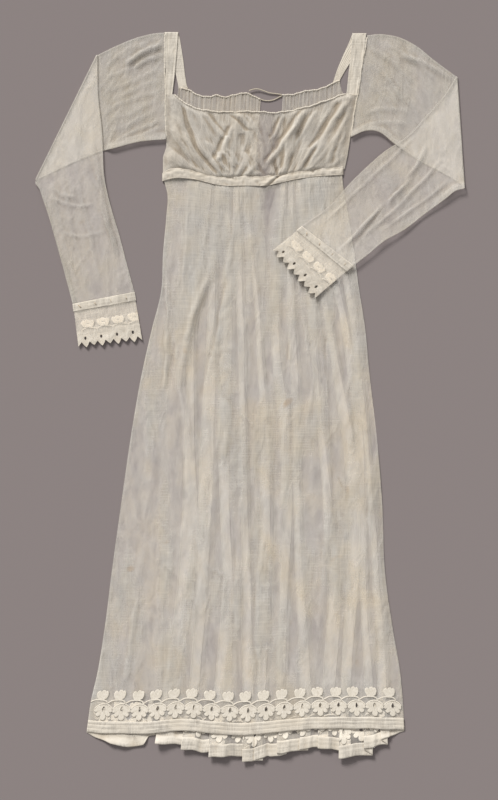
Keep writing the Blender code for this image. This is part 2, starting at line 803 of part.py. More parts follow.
def ring_row(row, shift, outer, inner):
    """Points round a flattened tube: the outer wall from edge a to edge b, and the inner wall back."""
    outer_wall = []
    inner_wall = []
    for i in range(SLEEVE_COLUMNS + 1):
        share = i / SLEEVE_COLUMNS
        x = row.a_x + (row.b_x - row.a_x) * share
        down = row.a_down + (row.b_down - row.a_down) * share
        outer_wall.append((x + shift[0] * outer[0], down - shift[1] * outer[0], outer[1]))
        inner_wall.append((x + shift[0] * inner[0], down - shift[1] * inner[0], inner[1]))
    return outer_wall + inner_wall[::-1]


def sleeve(name, upper, elbow, forearm, outward, flip):
    """A flattened tube: the upper arm on the surface, folded up and back over itself at the elbow."""
    grid = []
    still = (0.0, 0.0)
    for row in (*upper, elbow):
        grid.append(ring_row(row, still, (0, FLOOR_LAYER), (0, SECOND_LAYER)))
    middle = (FLOOR_LAYER + FRONT_LAYER) / 2
    grid.append(ring_row(elbow, outward, (ELBOW_TURN, middle), (PITCH / 2, middle)))
    for row in (elbow._replace(lift=2 * PITCH), *forearm):
        low = row.lift + FLOOR_LAYER
        grid.append(ring_row(row, still, (0, low + PITCH), (0, low)))
    if flip:
        grid = [row[::-1] for row in grid]
    wall(name, grid, CLOTH, MATERIALS["muslin"], wrap=True)


def cuff(side, last, tip, flip):
    """The band that ends the sleeve, and the two walls of the worked edging."""
    apart = SEAM / math.hypot(tip.a_x - last.a_x, tip.a_down - last.a_down)
    band_rows = [blend_rows(last, tip, share) for share in (apart, CUFF_BAND_SHARE)]
    grid = []
    for row in band_rows:
        low = row.lift + FLOOR_LAYER
        grid.append(ring_row(row, (0.0, 0.0), (0, low + PITCH), (0, low)))
    if flip:
        grid = [row[::-1] for row in grid]
    wall("cuff_band_" + side, grid, CLOTH, MATERIALS["band"], wrap=True)
    for layer, height in (("under", FLOOR_LAYER), ("top", SECOND_LAYER)):
        grid = []
        start = CUFF_BAND_SHARE + apart
        for r in range(CUFF_ROWS + 1):
            along = r / CUFF_ROWS
            row = blend_rows(last, tip, between(start, 1, along))
            spots = []
            for c in range(CUFF_COLUMNS + 1):
                share = c / CUFF_COLUMNS
                notch = SCALLOP_DEPTH * (1 - abs(math.cos(math.pi * SCALLOPS * share))) * along ** SCALLOP_FADE
                back = notch * apart / SEAM
                x = row.a_x + (row.b_x - row.a_x) * share - (tip.a_x - last.a_x) * back
                down = row.a_down + (row.b_down - row.a_down) * share - (tip.a_down - last.a_down) * back
                spots.append((x, down, row.lift + height))
            grid.append(spots[::-1] if not flip else spots)
        piece = wall(f"cuff_edging_{side}_{layer}", grid, CLOTH, MATERIALS["whitework"])
        cut_eyelets(piece, cuff_eyelets(last, tip, height))


def cuff_eyelets(last, tip, height):
    row = blend_rows(last, tip, CUFF_BAND_SHARE + (1 - CUFF_BAND_SHARE) * CUFF_EYELET_AT)
    turn = math.atan2(tip.a_x - last.a_x, tip.a_down - last.a_down)
    drops = []
    for i in range(CUFF_EYELETS):
        share = (i + 0.5) / CUFF_EYELETS
        x = row.a_x + (row.b_x - row.a_x) * share
        down = row.a_down + (row.b_down - row.a_down) * share
        middle = row.lift + height
        reach = CLOTH / 2 + SEAM / 3
        drops.append(
            drop_shape(x, down, CUFF_EYELET_WIDE, CUFF_EYELET_TALL, middle - reach, middle + reach, -turn)
        )
    return drops


def build():
    skirt_back()
    hem_band_back()
    skirt_front()
    hem_band_front()
    waistband()
    bodice_front()
    bodice_back("bodice_back_left", BACK_NECK_LEFT, BACK_INNER_LEFT, BACK_SLIT[0].left, "left")
    bodice_back("bodice_back_right", BACK_NECK_RIGHT, BACK_INNER_RIGHT, BACK_SLIT[0].right, "right")
    casings()
    strap("strap_left", STRAP_BACK_LEFT, STRAP_FRONT_LEFT, STRAP_TOP_LEFT)
    strap("strap_right", STRAP_BACK_RIGHT, STRAP_FRONT_RIGHT, STRAP_TOP_RIGHT)
    sleeve("sleeve_left", LEFT_UPPER, LEFT_ELBOW, LEFT_FOREARM, LEFT_OUTWARD, True)
    sleeve("sleeve_right", RIGHT_UPPER, RIGHT_ELBOW, RIGHT_FOREARM, RIGHT_OUTWARD, False)
    cuff("left", LEFT_FOREARM[-1], LEFT_CUFF_END, True)
    cuff("right", RIGHT_FOREARM[-1], RIGHT_CUFF_END, False)
    tube("drawstring_upper", rounded(UPPER_STRAND, UPPER_POINTS), STRING_RADIUS, MATERIALS["string"])
    tube("drawstring_lower", rounded(LOWER_STRAND, LOWER_POINTS), STRING_RADIUS, MATERIALS["string"])


for leftover in list(bpy.data.objects):
    bpy.data.objects.remove(leftover, do_unlink=True)
DRESS = bpy.data.collections.new("day_dress")
CUTTERS = bpy.data.collections.new("cutters")
bpy.context.scene.collection.children.link(DRESS)
bpy.context.scene.collection.children.link(CUTTERS)
MATERIALS = {
    "muslin": material("muslin", MUSLIN, 0.9),
    "band": material("band", WHITEWORK, 0.85),
    "whitework": material("whitework", WHITEWORK, 0.8),
    "string": material("string", STRING, 0.8),
}
build()
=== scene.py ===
import math

import bmesh
import bpy
import numpy as np
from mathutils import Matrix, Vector, noise

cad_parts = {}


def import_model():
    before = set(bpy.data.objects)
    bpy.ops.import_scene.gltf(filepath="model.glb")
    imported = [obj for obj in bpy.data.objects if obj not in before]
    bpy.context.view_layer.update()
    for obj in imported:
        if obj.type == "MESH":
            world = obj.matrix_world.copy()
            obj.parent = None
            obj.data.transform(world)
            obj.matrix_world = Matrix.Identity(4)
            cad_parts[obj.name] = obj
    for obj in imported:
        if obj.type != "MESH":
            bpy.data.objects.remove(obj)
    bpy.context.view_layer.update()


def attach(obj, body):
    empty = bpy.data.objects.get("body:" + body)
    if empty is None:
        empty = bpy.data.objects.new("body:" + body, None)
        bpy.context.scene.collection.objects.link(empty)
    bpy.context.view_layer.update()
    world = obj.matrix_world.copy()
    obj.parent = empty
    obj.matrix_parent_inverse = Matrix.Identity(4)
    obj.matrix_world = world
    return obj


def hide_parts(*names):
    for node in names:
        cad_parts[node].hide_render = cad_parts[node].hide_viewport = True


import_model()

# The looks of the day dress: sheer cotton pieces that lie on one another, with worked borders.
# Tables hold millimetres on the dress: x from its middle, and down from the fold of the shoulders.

MM = 0.001


def table(columns, *rows):
    """A table with named columns, each as an array."""
    return dict(zip(columns.split(), np.array(rows, float).T))


# Sizes that the solids are made with
LENGTH = 1290.0
CLOTH = 1.0
PITCH = 1.3
HEM_BAND = 21.0
HEM_DOWN = 1239.0
BAND_DOWN = HEM_DOWN - HEM_BAND
WAIST_DOWN = 264.0
FLOOR_LAYER = 0.5
SECOND_LAYER = FLOOR_LAYER + PITCH
THIRD_LAYER = SECOND_LAYER + PITCH
FRONT_LAYER = THIRD_LAYER + PITCH

EYELET_COUNT = 17
EYELET_PITCH = 32.2
EYELET_FIRST = -262.0
EYELET_DOWN = 1196.0
EYELET_WIDE = 5.0
EYELET_TALL = 9.0

SKIRT_OUTLINE = table(
    "down left right",
    (264, -152, 163),
    (290, -146, 166),
    (326, -148, 173),
    (393, -154, 184),
    (457, -157, 193),
    (527, -174, 204),
    (602, -191, 211),
    (704, -209, 223),
    (835, -228, 234),
    (958, -245, 239),
    (1060, -258, 253),
    (1138, -271, 266),
    (1181, -281, 270),
    (1239, -289, 273),
)

# The folds of the back: where each has its edge at five levels, how wide it is, and how far it hangs
PLEAT_DOWNS = np.array((273, 527, 740, 970, 1244), float)
PLEATS = table(
    "waist hip knee calf hem fold_waist fold_hem drop_left drop_right",
    (-76, -106, -119, -127, -168, 7, 24, 18, 21),
    (-60, -78, -87, -94, -122, 7, 22, 28, 35),
    (-44, -50, -55, -51, -73, 7, 24, 43, 41),
    (-28, -21, -18, -12, -13, 7, 12, 51, 50),
    (-12, 9, 22, 14, 8, 6, 14, 50, 37),
    (55, 41, 55, 53, 48, 6, 16, 36, 33),
    (69, 67, 75, 85, 88, 6, 14, 32, 25),
    (83, 104, 126, 135, 120, 6, 16, 28, 32),
    (97, 138, 165, 170, 157, 6, 20, 46, 39),
    (111, 160, 187, 197, 202, 6, 14, 28, 21),
    (125, 179, 206, 216, 233, 5, 10, 14, -1),
)
PLEAT_COUNT = len(PLEATS["waist"])
PLEAT_CREST = 2.0
FIRST_STRIP = table("across drop", (0.0, 0), (0.2, 11), (0.45, 24), (0.82, 28), (0.9, 3))
SLIT_AFTER = 4
SLIT_ENDS = 358.0
BACK_SLIT = table(
    "down left right",
    (264, 8, 49),
    (319, 23, 34),
    (358, 27, 31),
    (527, 27, 30),
    (740, 43, 46),
    (970, 39, 42),
    (1244, 36, 39),
)
HEM_WAVE = table(
    "x down",
    (-289, 0),
    (-220, 3),
    (-155, 0),
    (-115, -3),
    (-55, 3),
    (0, 4),
    (60, -2),
    (115, -6),
    (205, -7),
    (273, -4),
)
WAISTBAND = table(
    "x top bottom",
    (-156, 251, 265),
    (-136, 242, 260),
    (-103, 246, 261),
    (-53, 258, 272),
    (-4, 256, 273),
    (34, 255, 272),
    (51, 254, 268),
    (96, 247, 259),
    (166, 238, 253),
)
FRONT_NECK = table(
    "x down",
    (-150, 108),
    (-137, 109),
    (-112, 127),
    (-88, 136),
    (-58, 140),
    (12, 140),
    (42, 142),
    (96, 133),
    (145, 117),
    (168, 109),
    (192, 109),
)
BACK_NECK_LEFT = table(
    "x down",
    (-127, 97),
    (-111, 101),
    (-92, 110),
    (-71, 114),
    (-58, 110),
    (-46, 115),
    (-28, 110),
    (-5, 108),
    (19, 118),
)
BACK_NECK_RIGHT = table(
    "x down", (57, 111), (83, 108), (106, 102), (121, 101), (136, 95), (149, 88), (159, 86)
)
ARMHOLE_LEFT = (-151.5, 2, -148.5, 190)
ARMHOLE_RIGHT = (207, 7, 178, 186)
BODICE_SIDES = table("down left right", (204, -148, 175), (222, -154, 172), (250, -154, 166))

# The last row of each strap is where its end runs on under the casing
STRAP_BACK_LEFT = table(
    "down left right",
    (2, -151, -127),
    (12, -149, -124),
    (50, -139, -118),
    (76, -131, -115),
    (95, -127, -112),
    (101, -126.5, -109),
)
STRAP_FRONT_LEFT = table(
    "down left right", (2, -151, -127), (40, -150, -130), (75, -149, -133), (107, -149, -137), (113, -149, -138)
)
STRAP_BACK_RIGHT = table(
    "down left right",
    (4, 181, 205),
    (22, 174, 196),
    (39, 166, 186),
    (60, 157, 174),
    (83, 149, 160),
    (91, 146, 158),
)
STRAP_FRONT_RIGHT = table(
    "down left right", (4, 181, 206), (40, 178, 201), (75, 174, 195), (107, 171, 190), (114, 169, 189)
)

ACROSS = "a_x a_down b_x b_down lift"
LEFT_UPPER = table(
    ACROSS,
    (-151.5, 2, -148.5, 190, 0),
    (-172, 4, -186, 193, 0),
    (-203, 12, -212, 198, 0),
    (-235, 25, -241, 206, 0),
    (-258, 36, -266, 212, 0),
    (-266, 40, -320, 234, 0),
    (-270, 42, -378, 262, 0),
)
LEFT_FOREARM = table(
    ACROSS,
    (-270, 42, -378, 262, 2.6),
    (-269, 110, -379, 268, 2.6),
    (-262, 177, -371, 280, 2.6),
    (-259, 250, -364, 301, 2.6),
    (-249, 301, -354, 331, 1.6),
    (-232, 359, -340, 381, 0.2),
    (-220, 405, -328, 425, 0),
    (-205, 461, -313, 482, 0),
)
LEFT_CUFF_END = (-190, 548, -303, 560, 0)
LEFT_OUTWARD = (-0.9, 0.44)
RIGHT_UPPER = table(
    ACROSS,
    (207, 7, 178, 186, 0),
    (233, 5, 205, 175, 0),
    (265, 11, 230, 178, 0),
    (296, 27, 258, 200, 0),
    (322, 48, 300, 228, 0),
    (346, 66, 346, 252, 0),
    (365, 80, 378, 272, 0),
)
RIGHT_FOREARM = table(
    ACROSS,
    (365, 80, 378, 272, 2.6),
    (357, 93, 378, 277, 2.6),
    (343, 115, 362, 282, 2.6),
    (318, 143, 343, 297, 2.6),
    (278, 186, 306, 324, 2.6),
    (234, 216, 274, 349, 4.4),
    (182, 264, 237, 370, 6.5),
    (142, 308, 209, 393, 6.5),
    (92, 345, 182, 414, 6.5),
)
RIGHT_CUFF_END = (38, 389, 112, 474, 6.5)
RIGHT_OUTWARD = (1.0, -0.07)
CUFF_BAND_SHARE = 0.17
SCALLOPS = 8
SCALLOP_DEPTH = 9.0
SHORT_POINT = 2.6
CUFF_EYELETS = 4
CUFF_EYELET_WIDE = 4.4
CUFF_EYELET_TALL = 6.0
CUFF_EYELET_AT = 0.77

CASING_RADIUS = 1.4
CASING_LOW = 1.5
CASING_HIGH = 2.8
STRING_RADIUS = 0.9
UPPER_STRAND = table(
    "x down height",
    (-2, 104.5, 3.4),
    (6, 102, 3.6),
    (14, 101.5, 3.4),
    (24, 104.5, 2.8),
    (34, 108, 2.2),
    (45, 109.5, 1.8),
    (52, 110.4, 1.6),
    (56.6, 111.3, 1.5),
)
LOWER_STRAND = table(
    "x down height",
    (19.35, 119.55, 1.5),
    (25, 121.4, 1.3),
    (33, 122, 1.1),
    (41, 120.6, 1.1),
    (48, 117.6, 1.2),
    (52.6, 114.9, 1.4),
    (56.4, 113.5, 1.5),
)


# Creases, given one by one: height, width before and after the line, and the line's points


class Crease:
    def __init__(self, height, before, after, route):
        self.height = height
        self.before = before
        self.after = after
        self.route = np.array(route, float)


SKIRT_CREASES = (
    Crease(-1.2, 3, 3, ((-154, 448), (-149, 501), (-143, 545))),
    Crease(1.4, 5, 4, ((-145, 386), (-147, 457), (-145, 536), (-154, 651))),
    Crease(2.4, 9, 6, ((-60, 395), (-83, 457), (-106, 527), (-119, 598), (-113, 687), (-106, 784))),
    Crease(-1.3, 6, 5, ((-37, 421), (-58, 510), (-76, 598), (-99, 678))),
    Crease(1.0, 4, 4, ((-96, 566), (-57, 563), (-18, 556))),
    Crease(0.9, 3, 3, ((-48, 566), (-34, 575), (-18, 584))),
    Crease(1.0, 8, 8, ((-50, 643), (-39, 696), (-46, 761))),
    Crease(1.3, 3, 3, ((-83, 938), (-64, 949), (-44, 959))),
    Crease(1.0, 3, 3, ((-21, 669), (-2, 687), (18, 704))),
    Crease(0.9, 3, 3, ((-51, 635), (-27, 648))),
    Crease(0.9, 3, 3, ((-246, 881), (-221, 896))),
    Crease(-0.9, 3, 3, ((156, 784), (166, 811))),
    Crease(-1.0, 4, 3, ((135, 538), (133, 584))),
    Crease(-1.0, 4, 3, ((67, 550), (64, 584))),
    Crease(0.7, 2, 2, ((-163, 935), (-165, 1041), (-168, 1129))),
    Crease(1.1, 5, 5, ((-195, 988), (-211, 1076), (-223, 1165))),
    Crease(1.2, 9, 7, ((4, 386), (-7, 581), (-12, 793), (-21, 1041), (-18, 1165))),
    Crease(1.1, 8, 8, ((64, 368), (74, 545), (62, 740), (58, 935), (85, 1165))),
    Crease(1.3, 8, 6, ((103, 386), (120, 527), (135, 704), (135, 935), (110, 1165))),
    Crease(1.1, 7, 7, ((156, 439), (168, 581), (177, 722), (189, 935), (173, 1165))),
    Crease(1.0, 6, 6, ((189, 581), (205, 740), (221, 935), (244, 1165))),
    Crease(1.0, 6, 6, ((-165, 687), (-182, 864), (-204, 1005))),
    Crease(1.0, 7, 6, ((-106, 793), (-124, 935), (-138, 1076), (-149, 1182))),
    Crease(1.0, 6, 7, ((-62, 775), (-74, 899), (-96, 1041), (-110, 1165))),
    Crease(-0.9, 5, 5, ((-133, 545), (-142, 616))),
    Crease(0.9, 5, 5, ((35, 687), (32, 828), (14, 1005), (21, 1165))),
    Crease(0.8, 3, 3, ((88, 474), (110, 616), (99, 722))),
    Crease(0.8, 3, 4, ((-25, 297), (-32, 368), (-42, 439))),
    Crease(0.8, 3, 3, ((71, 289), (81, 368), (88, 474))),
    Crease(0.9, 4, 3, ((127, 280), (135, 368), (149, 457))),
    Crease(0.7, 3, 3, ((-106, 289), (-113, 368), (-117, 474))),
    Crease(0.8, 2, 2, ((168, 935), (181, 1005), (177, 1094))),
    Crease(0.8, 3, 2, ((-39, 935), (-50, 1041), (-55, 1147))),
    Crease(0.8, 3, 3, ((-5, 899), (0, 1005), (-5, 1112))),
)
BODICE_CREASES = (
    Crease(-2.3, 2.2, 2.4, ((-124, 122), (-108, 170), (-88, 214), (-51, 258))),
    Crease(2.3, 3, 3.4, ((-117, 122), (-99, 170), (-80, 214), (-44, 258))),
    Crease(0.9, 2, 2, ((-140, 165), (-117, 209), (-94, 250))),
    Crease(1.0, 2, 2, ((-131, 145), (-106, 202), (-81, 251))),
    Crease(0.9, 1.6, 2, ((-122, 170), (-97, 216), (-67, 255))),
    Crease(1.3, 2, 2, ((-83, 142), (-65, 163), (-46, 191))),
    Crease(-1.0, 1.8, 2, ((-74, 140), (-57, 163), (-37, 189))),
    Crease(-2.1, 2.4, 2.4, ((-37, 163), (-50, 195), (-65, 230))),
    Crease(1.7, 3, 3, ((-30, 163), (-42, 196), (-58, 232))),
    Crease(1.2, 4, 3, ((-80, 191), (-65, 212), (-46, 244))),
    Crease(-1.6, 2.2, 2.2, ((-35, 145), (-21, 159), (-5, 177))),
    Crease(1.4, 2.4, 3, ((-27, 143), (-12, 158), (4, 175))),
    Crease(-0.9, 4, 4, ((-14, 178), (-10, 196), (-3, 218))),
    Crease(1.3, 2, 2, ((-50, 211), (-39, 225), (-27, 242))),
    Crease(1.1, 1.8, 1.8, ((-58, 219), (-46, 237), (-34, 251))),
    Crease(1.0, 1.8, 1.8, ((-41, 207), (-30, 219), (-21, 237))),
    Crease(0.9, 1.6, 1.6, ((-76, 227), (-60, 244), (-46, 257))),
    Crease(0.9, 2, 2, ((-7, 145), (7, 166), (21, 195))),
    Crease(0.8, 1.6, 1.6, ((7, 143), (21, 163), (32, 184))),
    Crease(-1.2, 2, 2, ((55, 145), (46, 166), (34, 191))),
    Crease(1.3, 2, 2.4, ((62, 143), (53, 166), (39, 193))),
    Crease(-1.8, 2.2, 2.4, ((96, 131), (71, 163), (48, 198), (23, 235))),
    Crease(2.2, 2.8, 3, ((104, 131), (80, 165), (57, 200), (32, 239))),
    Crease(1.8, 3, 3, ((88, 156), (71, 200), (55, 257))),
    Crease(-1.4, 2.4, 2.4, ((80, 170), (65, 209), (46, 255))),
    Crease(-2.2, 2.6, 2.6, ((163, 119), (145, 145), (126, 173), (104, 209))),
    Crease(2.2, 2.8, 3.4, ((173, 119), (154, 147), (133, 177), (112, 214))),
    Crease(1.2, 2, 2.4, ((120, 135), (104, 163), (85, 195), (67, 227))),
    Crease(-1.3, 2, 2, ((142, 152), (120, 195), (94, 244))),
    Crease(1.5, 2.4, 3, ((150, 154), (129, 196), (103, 244))),
    Crease(1.3, 2.4, 2.4, ((184, 120), (161, 173), (133, 241))),
    Crease(1.0, 2, 2, ((172, 173), (156, 209), (149, 241))),
    Crease(1.0, 1.8, 1.8, ((0, 205), (9, 227), (18, 248))),
    Crease(1.0, 1.8, 1.8, ((46, 205), (35, 227), (27, 248))),
    Crease(0.9, 1.6, 1.6, ((23, 202), (21, 227), (23, 250))),
    Crease(0.9, 1.8, 1.8, ((-12, 212), (-5, 234), (4, 253))),
    Crease(0.8, 2, 2, ((-106, 131), (-85, 159), (-67, 191))),
)
LEFT_UPPER_CREASES = (
    Crease(2.6, 5, 3.4, ((-223, 57), (-195, 39), (-152, 23))),
    Crease(1.7, 3, 3, ((-205, 65), (-181, 51), (-152, 41))),
    Crease(0.9, 3, 3, ((-258, 64), (-230, 41), (-177, 16))),
    Crease(0.7, 2.4, 2.4, ((-255, 85), (-227, 71), (-195, 60))),
    Crease(0.8, 2.6, 2.6, ((-255, 106), (-212, 88), (-156, 64))),
    Crease(0.7, 2.2, 2.2, ((-248, 122), (-205, 103), (-159, 85))),
    Crease(0.8, 2.6, 2.6, ((-255, 142), (-209, 120), (-159, 103))),
    Crease(0.7, 2.2, 2.2, ((-251, 159), (-205, 140), (-163, 119))),
    Crease(0.8, 2.4, 2.4, ((-244, 175), (-202, 158), (-156, 135))),
    Crease(1.2, 2.6, 2.6, ((-244, 195), (-202, 177), (-156, 154))),
    Crease(1.4, 2.6, 2.6, ((-230, 198), (-195, 182), (-152, 168))),
    Crease(1.2, 2.4, 2.2, ((-209, 195), (-181, 184), (-150, 179))),
    Crease(0.8, 2, 2, ((-234, 50), (-205, 32), (-177, 23))),
)
LEFT_LOWER_CREASES = (
    Crease(1.6, 3, 4, ((-274, 57), (-281, 138), (-273, 227), (-258, 306), (-234, 407))),
    Crease(1.1, 3, 3, ((-290, 99), (-312, 191), (-297, 297), (-273, 407), (-262, 460))),
    Crease(1.0, 4, 3, ((-326, 170), (-347, 262), (-329, 368), (-304, 467))),
    Crease(0.9, 3, 3, ((-308, 138), (-333, 227), (-315, 343), (-287, 457))),
    Crease(0.9, 3, 3, ((-269, 280), (-248, 354), (-223, 457))),
    Crease(0.8, 3, 3, ((-361, 255), (-343, 280), (-304, 297))),
    Crease(0.9, 3, 2, ((-354, 294), (-319, 308), (-273, 304))),
    Crease(0.8, 2.4, 2.4, ((-336, 354), (-294, 361), (-255, 354))),
    Crease(0.8, 2.4, 2.4, ((-294, 227), (-280, 258), (-266, 280))),
)
RIGHT_UPPER_CREASES = (
    Crease(1.8, 4, 4, ((262, 37), (308, 57), (358, 85))),
    Crease(1.0, 3, 3, ((212, 25), (251, 53), (290, 92))),
    Crease(0.9, 3, 3, ((209, 53), (244, 85), (273, 127))),
    Crease(0.8, 3, 3, ((205, 88), (237, 113), (262, 149))),
    Crease(0.9, 3, 3, ((198, 149), (241, 135), (287, 142))),
    Crease(1.0, 3, 3, ((191, 170), (237, 159), (283, 166))),
    Crease(0.8, 2.4, 2.4, ((230, 18), (283, 46), (333, 85))),
    Crease(0.8, 2.6, 2.6, ((251, 92), (283, 127), (301, 170))),
)
RIGHT_LOWER_CREASES = (
    Crease(2.0, 4, 5, ((322, 191), (283, 255), (223, 322), (149, 396))),
    Crease(-1.6, 3, 3, ((301, 237), (258, 283), (212, 340), (168, 396))),
    Crease(1.5, 3, 4, ((350, 156), (336, 227), (273, 297), (198, 365))),
    Crease(1.3, 3, 3, ((365, 173), (358, 255), (294, 308), (223, 361))),
    Crease(1.1, 3, 3, ((308, 170), (266, 209), (205, 269), (127, 340))),
    Crease(1.0, 3, 3, ((258, 202), (205, 241), (145, 290), (88, 343))),
    Crease(0.9, 3, 3, ((372, 209), (354, 280), (336, 297))),
    Crease(0.9, 2.6, 2.6, ((329, 117), (347, 163), (354, 209))),
)


# Curves and heights


def smooth(keys, values, at):
    """A smooth curve through the values, read at one place or at many."""
    slopes = np.gradient(values, keys)
    at = np.clip(np.asarray(at, float), keys[0], keys[-1])
    i = np.clip(np.searchsorted(keys, at) - 1, 0, len(keys) - 2)
    span = keys[i + 1] - keys[i]
    t = (at - keys[i]) / span
    rise = values[i + 1] - values[i]
    start = slopes[i] * span
    end = slopes[i + 1] * span
    return values[i] + t * (start + t * ((3 * rise - 2 * start - end) + t * (start + end - 2 * rise)))


def read(source, key, value, at):
    return smooth(source[key], source[value], at)


def ease(t):
    t = np.clip(t, 0.0, 1.0)
    return t * t * (3 - 2 * t)


def between(first, last, share):
    return first + (last - first) * share


CREASE_FADE = 0.16  # the share of a crease's length over which each end dies away
CREASE_WANDER = 1.4  # how far a crease strays from its line


def crease_height(creases, x, down, widen=1.0):
    """How far the creases lift the cloth at each place."""
    height = np.zeros_like(x)
    for number, crease in enumerate(creases):
        reach = np.abs(crease.route[-1] - crease.route[0])
        upright = reach[1] >= reach[0]
        along, aside = (down, x) if upright else (x, down)
        keys, middles = crease.route.T[::-1] if upright else crease.route.T
        order = np.argsort(keys)
        keys, middles = keys[order], middles[order]
        share = (along - keys[0]) / (keys[-1] - keys[0])
        fade = ease(share / CREASE_FADE) * ease((1 - share) / CREASE_FADE)
        stray = CREASE_WANDER * np.sin(along / 19 + number * 1.7) + CREASE_WANDER / 2 * np.sin(along / 7 + number)
        off = aside - smooth(keys, middles, along) - stray
        spread = np.where(off < 0, crease.before, crease.after) * widen
        height += crease.height * fade * np.exp(-((off / spread) ** 2))
    return height


def crumple(x, down, wide, tall, seed):
    """Soft random waves of the cloth, between about -1 and 1."""
    spots = np.stack([x.ravel() / wide, down.ravel() / tall, np.full(x.size, seed * 7.3)], axis=1)
    return np.array([noise.noise(Vector(spot)) for spot in spots]).reshape(x.shape) * 1.6


def radiating(x, down, middle, foot, pitch, seed):
    """Waves that run out from a place on the waist, closer together near it."""
    angle = np.arctan2(x - middle, foot - down)
    return crumple(angle * 110, np.hypot(x - middle, foot - down), pitch, 46, seed)


def fine_gathers(x, pitch, seed):
    """Uneven small waves across the cloth, between 0 and 1."""
    bent = x + 1.3 * pitch * np.sin(x / (pitch * 5.1) + seed)
    waves = np.sin(2 * math.pi * bent / pitch) + 0.6 * np.sin(2 * math.pi * bent / (pitch * 0.57) + seed)
    return np.clip(0.5 + waves / 3.2, 0, 1)


def world(x, down, height):
    """Millimetres on the dress to millimetres in the world."""
    x, down, height = np.broadcast_arrays(x, down, height)
    return np.stack([x, LENGTH / 2 - down, height], axis=-1).astype(float)


PACKING = 3.0  # how soon cloth that stands steep looks denser
HOLLOW_REACH = 5.0  # how far round a place its hollow is measured
HOLLOW_FULL = 0.9  # how deep a hollow lies where its painted shade is darkest
MOST_SOFTENING = 60


def soften(values, axis, times):
    """Evens values out along one axis, and keeps both ends."""
    rows = np.moveaxis(values, axis, 0)
    for _ in range(times):
        rows = np.concatenate([rows[:1], (rows[:-2] + 2 * rows[1:-1] + rows[2:]) / 4, rows[-1:]])
    return np.moveaxis(rows, 0, axis)


LOOSEST = -0.25


class Cloth:
    """A piece of cloth: rows of points down it, with named distances across and down."""

    def __init__(self, points, across=None, down=None, packing=PACKING):
        self.points = points
        self.packing = packing
        self.rows, self.cols = points.shape[:2]
        steps = np.linalg.norm(np.diff(points, axis=1), axis=2)
        self.run = np.pad(np.cumsum(steps, axis=1), ((0, 0), (1, 0)))
        self.run -= self.run[:, self.cols // 2, None]
        falls = np.linalg.norm(np.diff(points[:, self.cols // 2], axis=0), axis=1)
        self.fall = np.concatenate([[0.0], np.cumsum(falls)])
        self.across = self.run[-1] if across is None else across
        self.down = self.fall if down is None else down
        self.missing = np.zeros((self.rows - 1, self.cols - 1), bool)
        self.dense = np.zeros((self.rows, self.cols))

    def gathered(self):
        """How closely the cloth is packed where it stands steep, up to 1, and below 0 where it is thin."""
        lean = np.maximum(np.abs(self.normals()[..., 2]), 0.2)
        return np.clip((1 / lean - 1) * self.packing + self.dense, LOOSEST, 1)

    def hollow(self):
        """How deep each place lies below the cloth round it, from 0 to 1, which sets where shade is painted."""
        height = around = self.points[..., 2]
        for axis in (0, 1):
            step = np.median(np.linalg.norm(np.diff(self.points, axis=axis), axis=2))
            times = int(2 * (HOLLOW_REACH / step) ** 2)
            around = soften(around, axis, min(max(times, 1), MOST_SOFTENING))
        return np.clip((around - height) / HOLLOW_FULL, 0, 1)

    def thicken(self, across, down, wide, tall, turn, amount):
        """Fills an oval of the cloth with stitches, so that less shows through it."""
        u = self.across[None, :] - across
        v = self.down[:, None] - down
        along = (v * math.cos(turn) - u * math.sin(turn)) / (tall / 2)
        aside = (u * math.cos(turn) + v * math.sin(turn)) / (wide / 2)
        self.dense += amount * ease((1.25 - np.hypot(along, aside)) / 0.4)

    def normals(self):
        found = np.cross(np.gradient(self.points, axis=0), np.gradient(self.points, axis=1))
        return found / np.maximum(np.linalg.norm(found, axis=2, keepdims=True), 1e-9)

    def at(self, across, down, lift):
        """The places on the cloth at distances across and down, lifted off it."""
        c = np.interp(across, self.across, np.arange(self.cols))
        r = np.interp(down, self.down, np.arange(self.rows))
        c0 = np.minimum(c.astype(int), self.cols - 2)
        r0 = np.minimum(r.astype(int), self.rows - 2)
        fc, fr = (c - c0)[:, None], (r - r0)[:, None]

        def blend(grid):
            upper = grid[r0, c0] * (1 - fc) + grid[r0, c0 + 1] * fc
            lower = grid[r0 + 1, c0] * (1 - fc) + grid[r0 + 1, c0 + 1] * fc
            return upper * (1 - fr) + lower * fr

        return blend(self.points) + blend(self.normals()) * np.asarray(lift)[:, None]

    def punch(self, across, down, wide, tall):
        """Cuts a drop-shaped eyelet, with its edge drawn to the outline."""
        cols = np.flatnonzero(np.abs(self.across - across) < wide + tall)
        rows = np.flatnonzero(np.abs(self.down - down) < wide + tall)
        u = (self.across[None, cols] - across) + np.zeros((len(rows), 1))
        v = (down - self.down[rows, None]) + np.zeros((1, len(cols)))
        share = drop_share(u, v, wide, tall)
        middle = (share[:-1, :-1] + share[1:, :-1] + share[:-1, 1:] + share[1:, 1:]) / 4
        gone = middle < 1
        kept = np.zeros(share.shape, bool)
        lost = np.zeros(share.shape, bool)
        for dr in (0, 1):
            for dc in (0, 1):
                window = (slice(dr, dr + gone.shape[0]), slice(dc, dc + gone.shape[1]))
                kept[window] |= ~gone
                lost[window] |= gone
        rim = kept & lost
        new_u, new_v = across + u[rim] / share[rim], down - v[rim] / share[rim]
        grid_rows, grid_cols = np.meshgrid(rows, cols, indexing="ij")
        moved = self.at(new_u, new_v, np.zeros(rim.sum()))
        self.points[grid_rows[rim], grid_cols[rim]] = moved
        self.missing[np.ix_(rows[:-1], cols[:-1])] |= gone


def drop_narrow(angle):
    """How wide a drop is at each angle from its top, as a share: full below and pointed above."""
    return np.sqrt(0.6 - 0.4 * np.cos(angle)) * 1.15


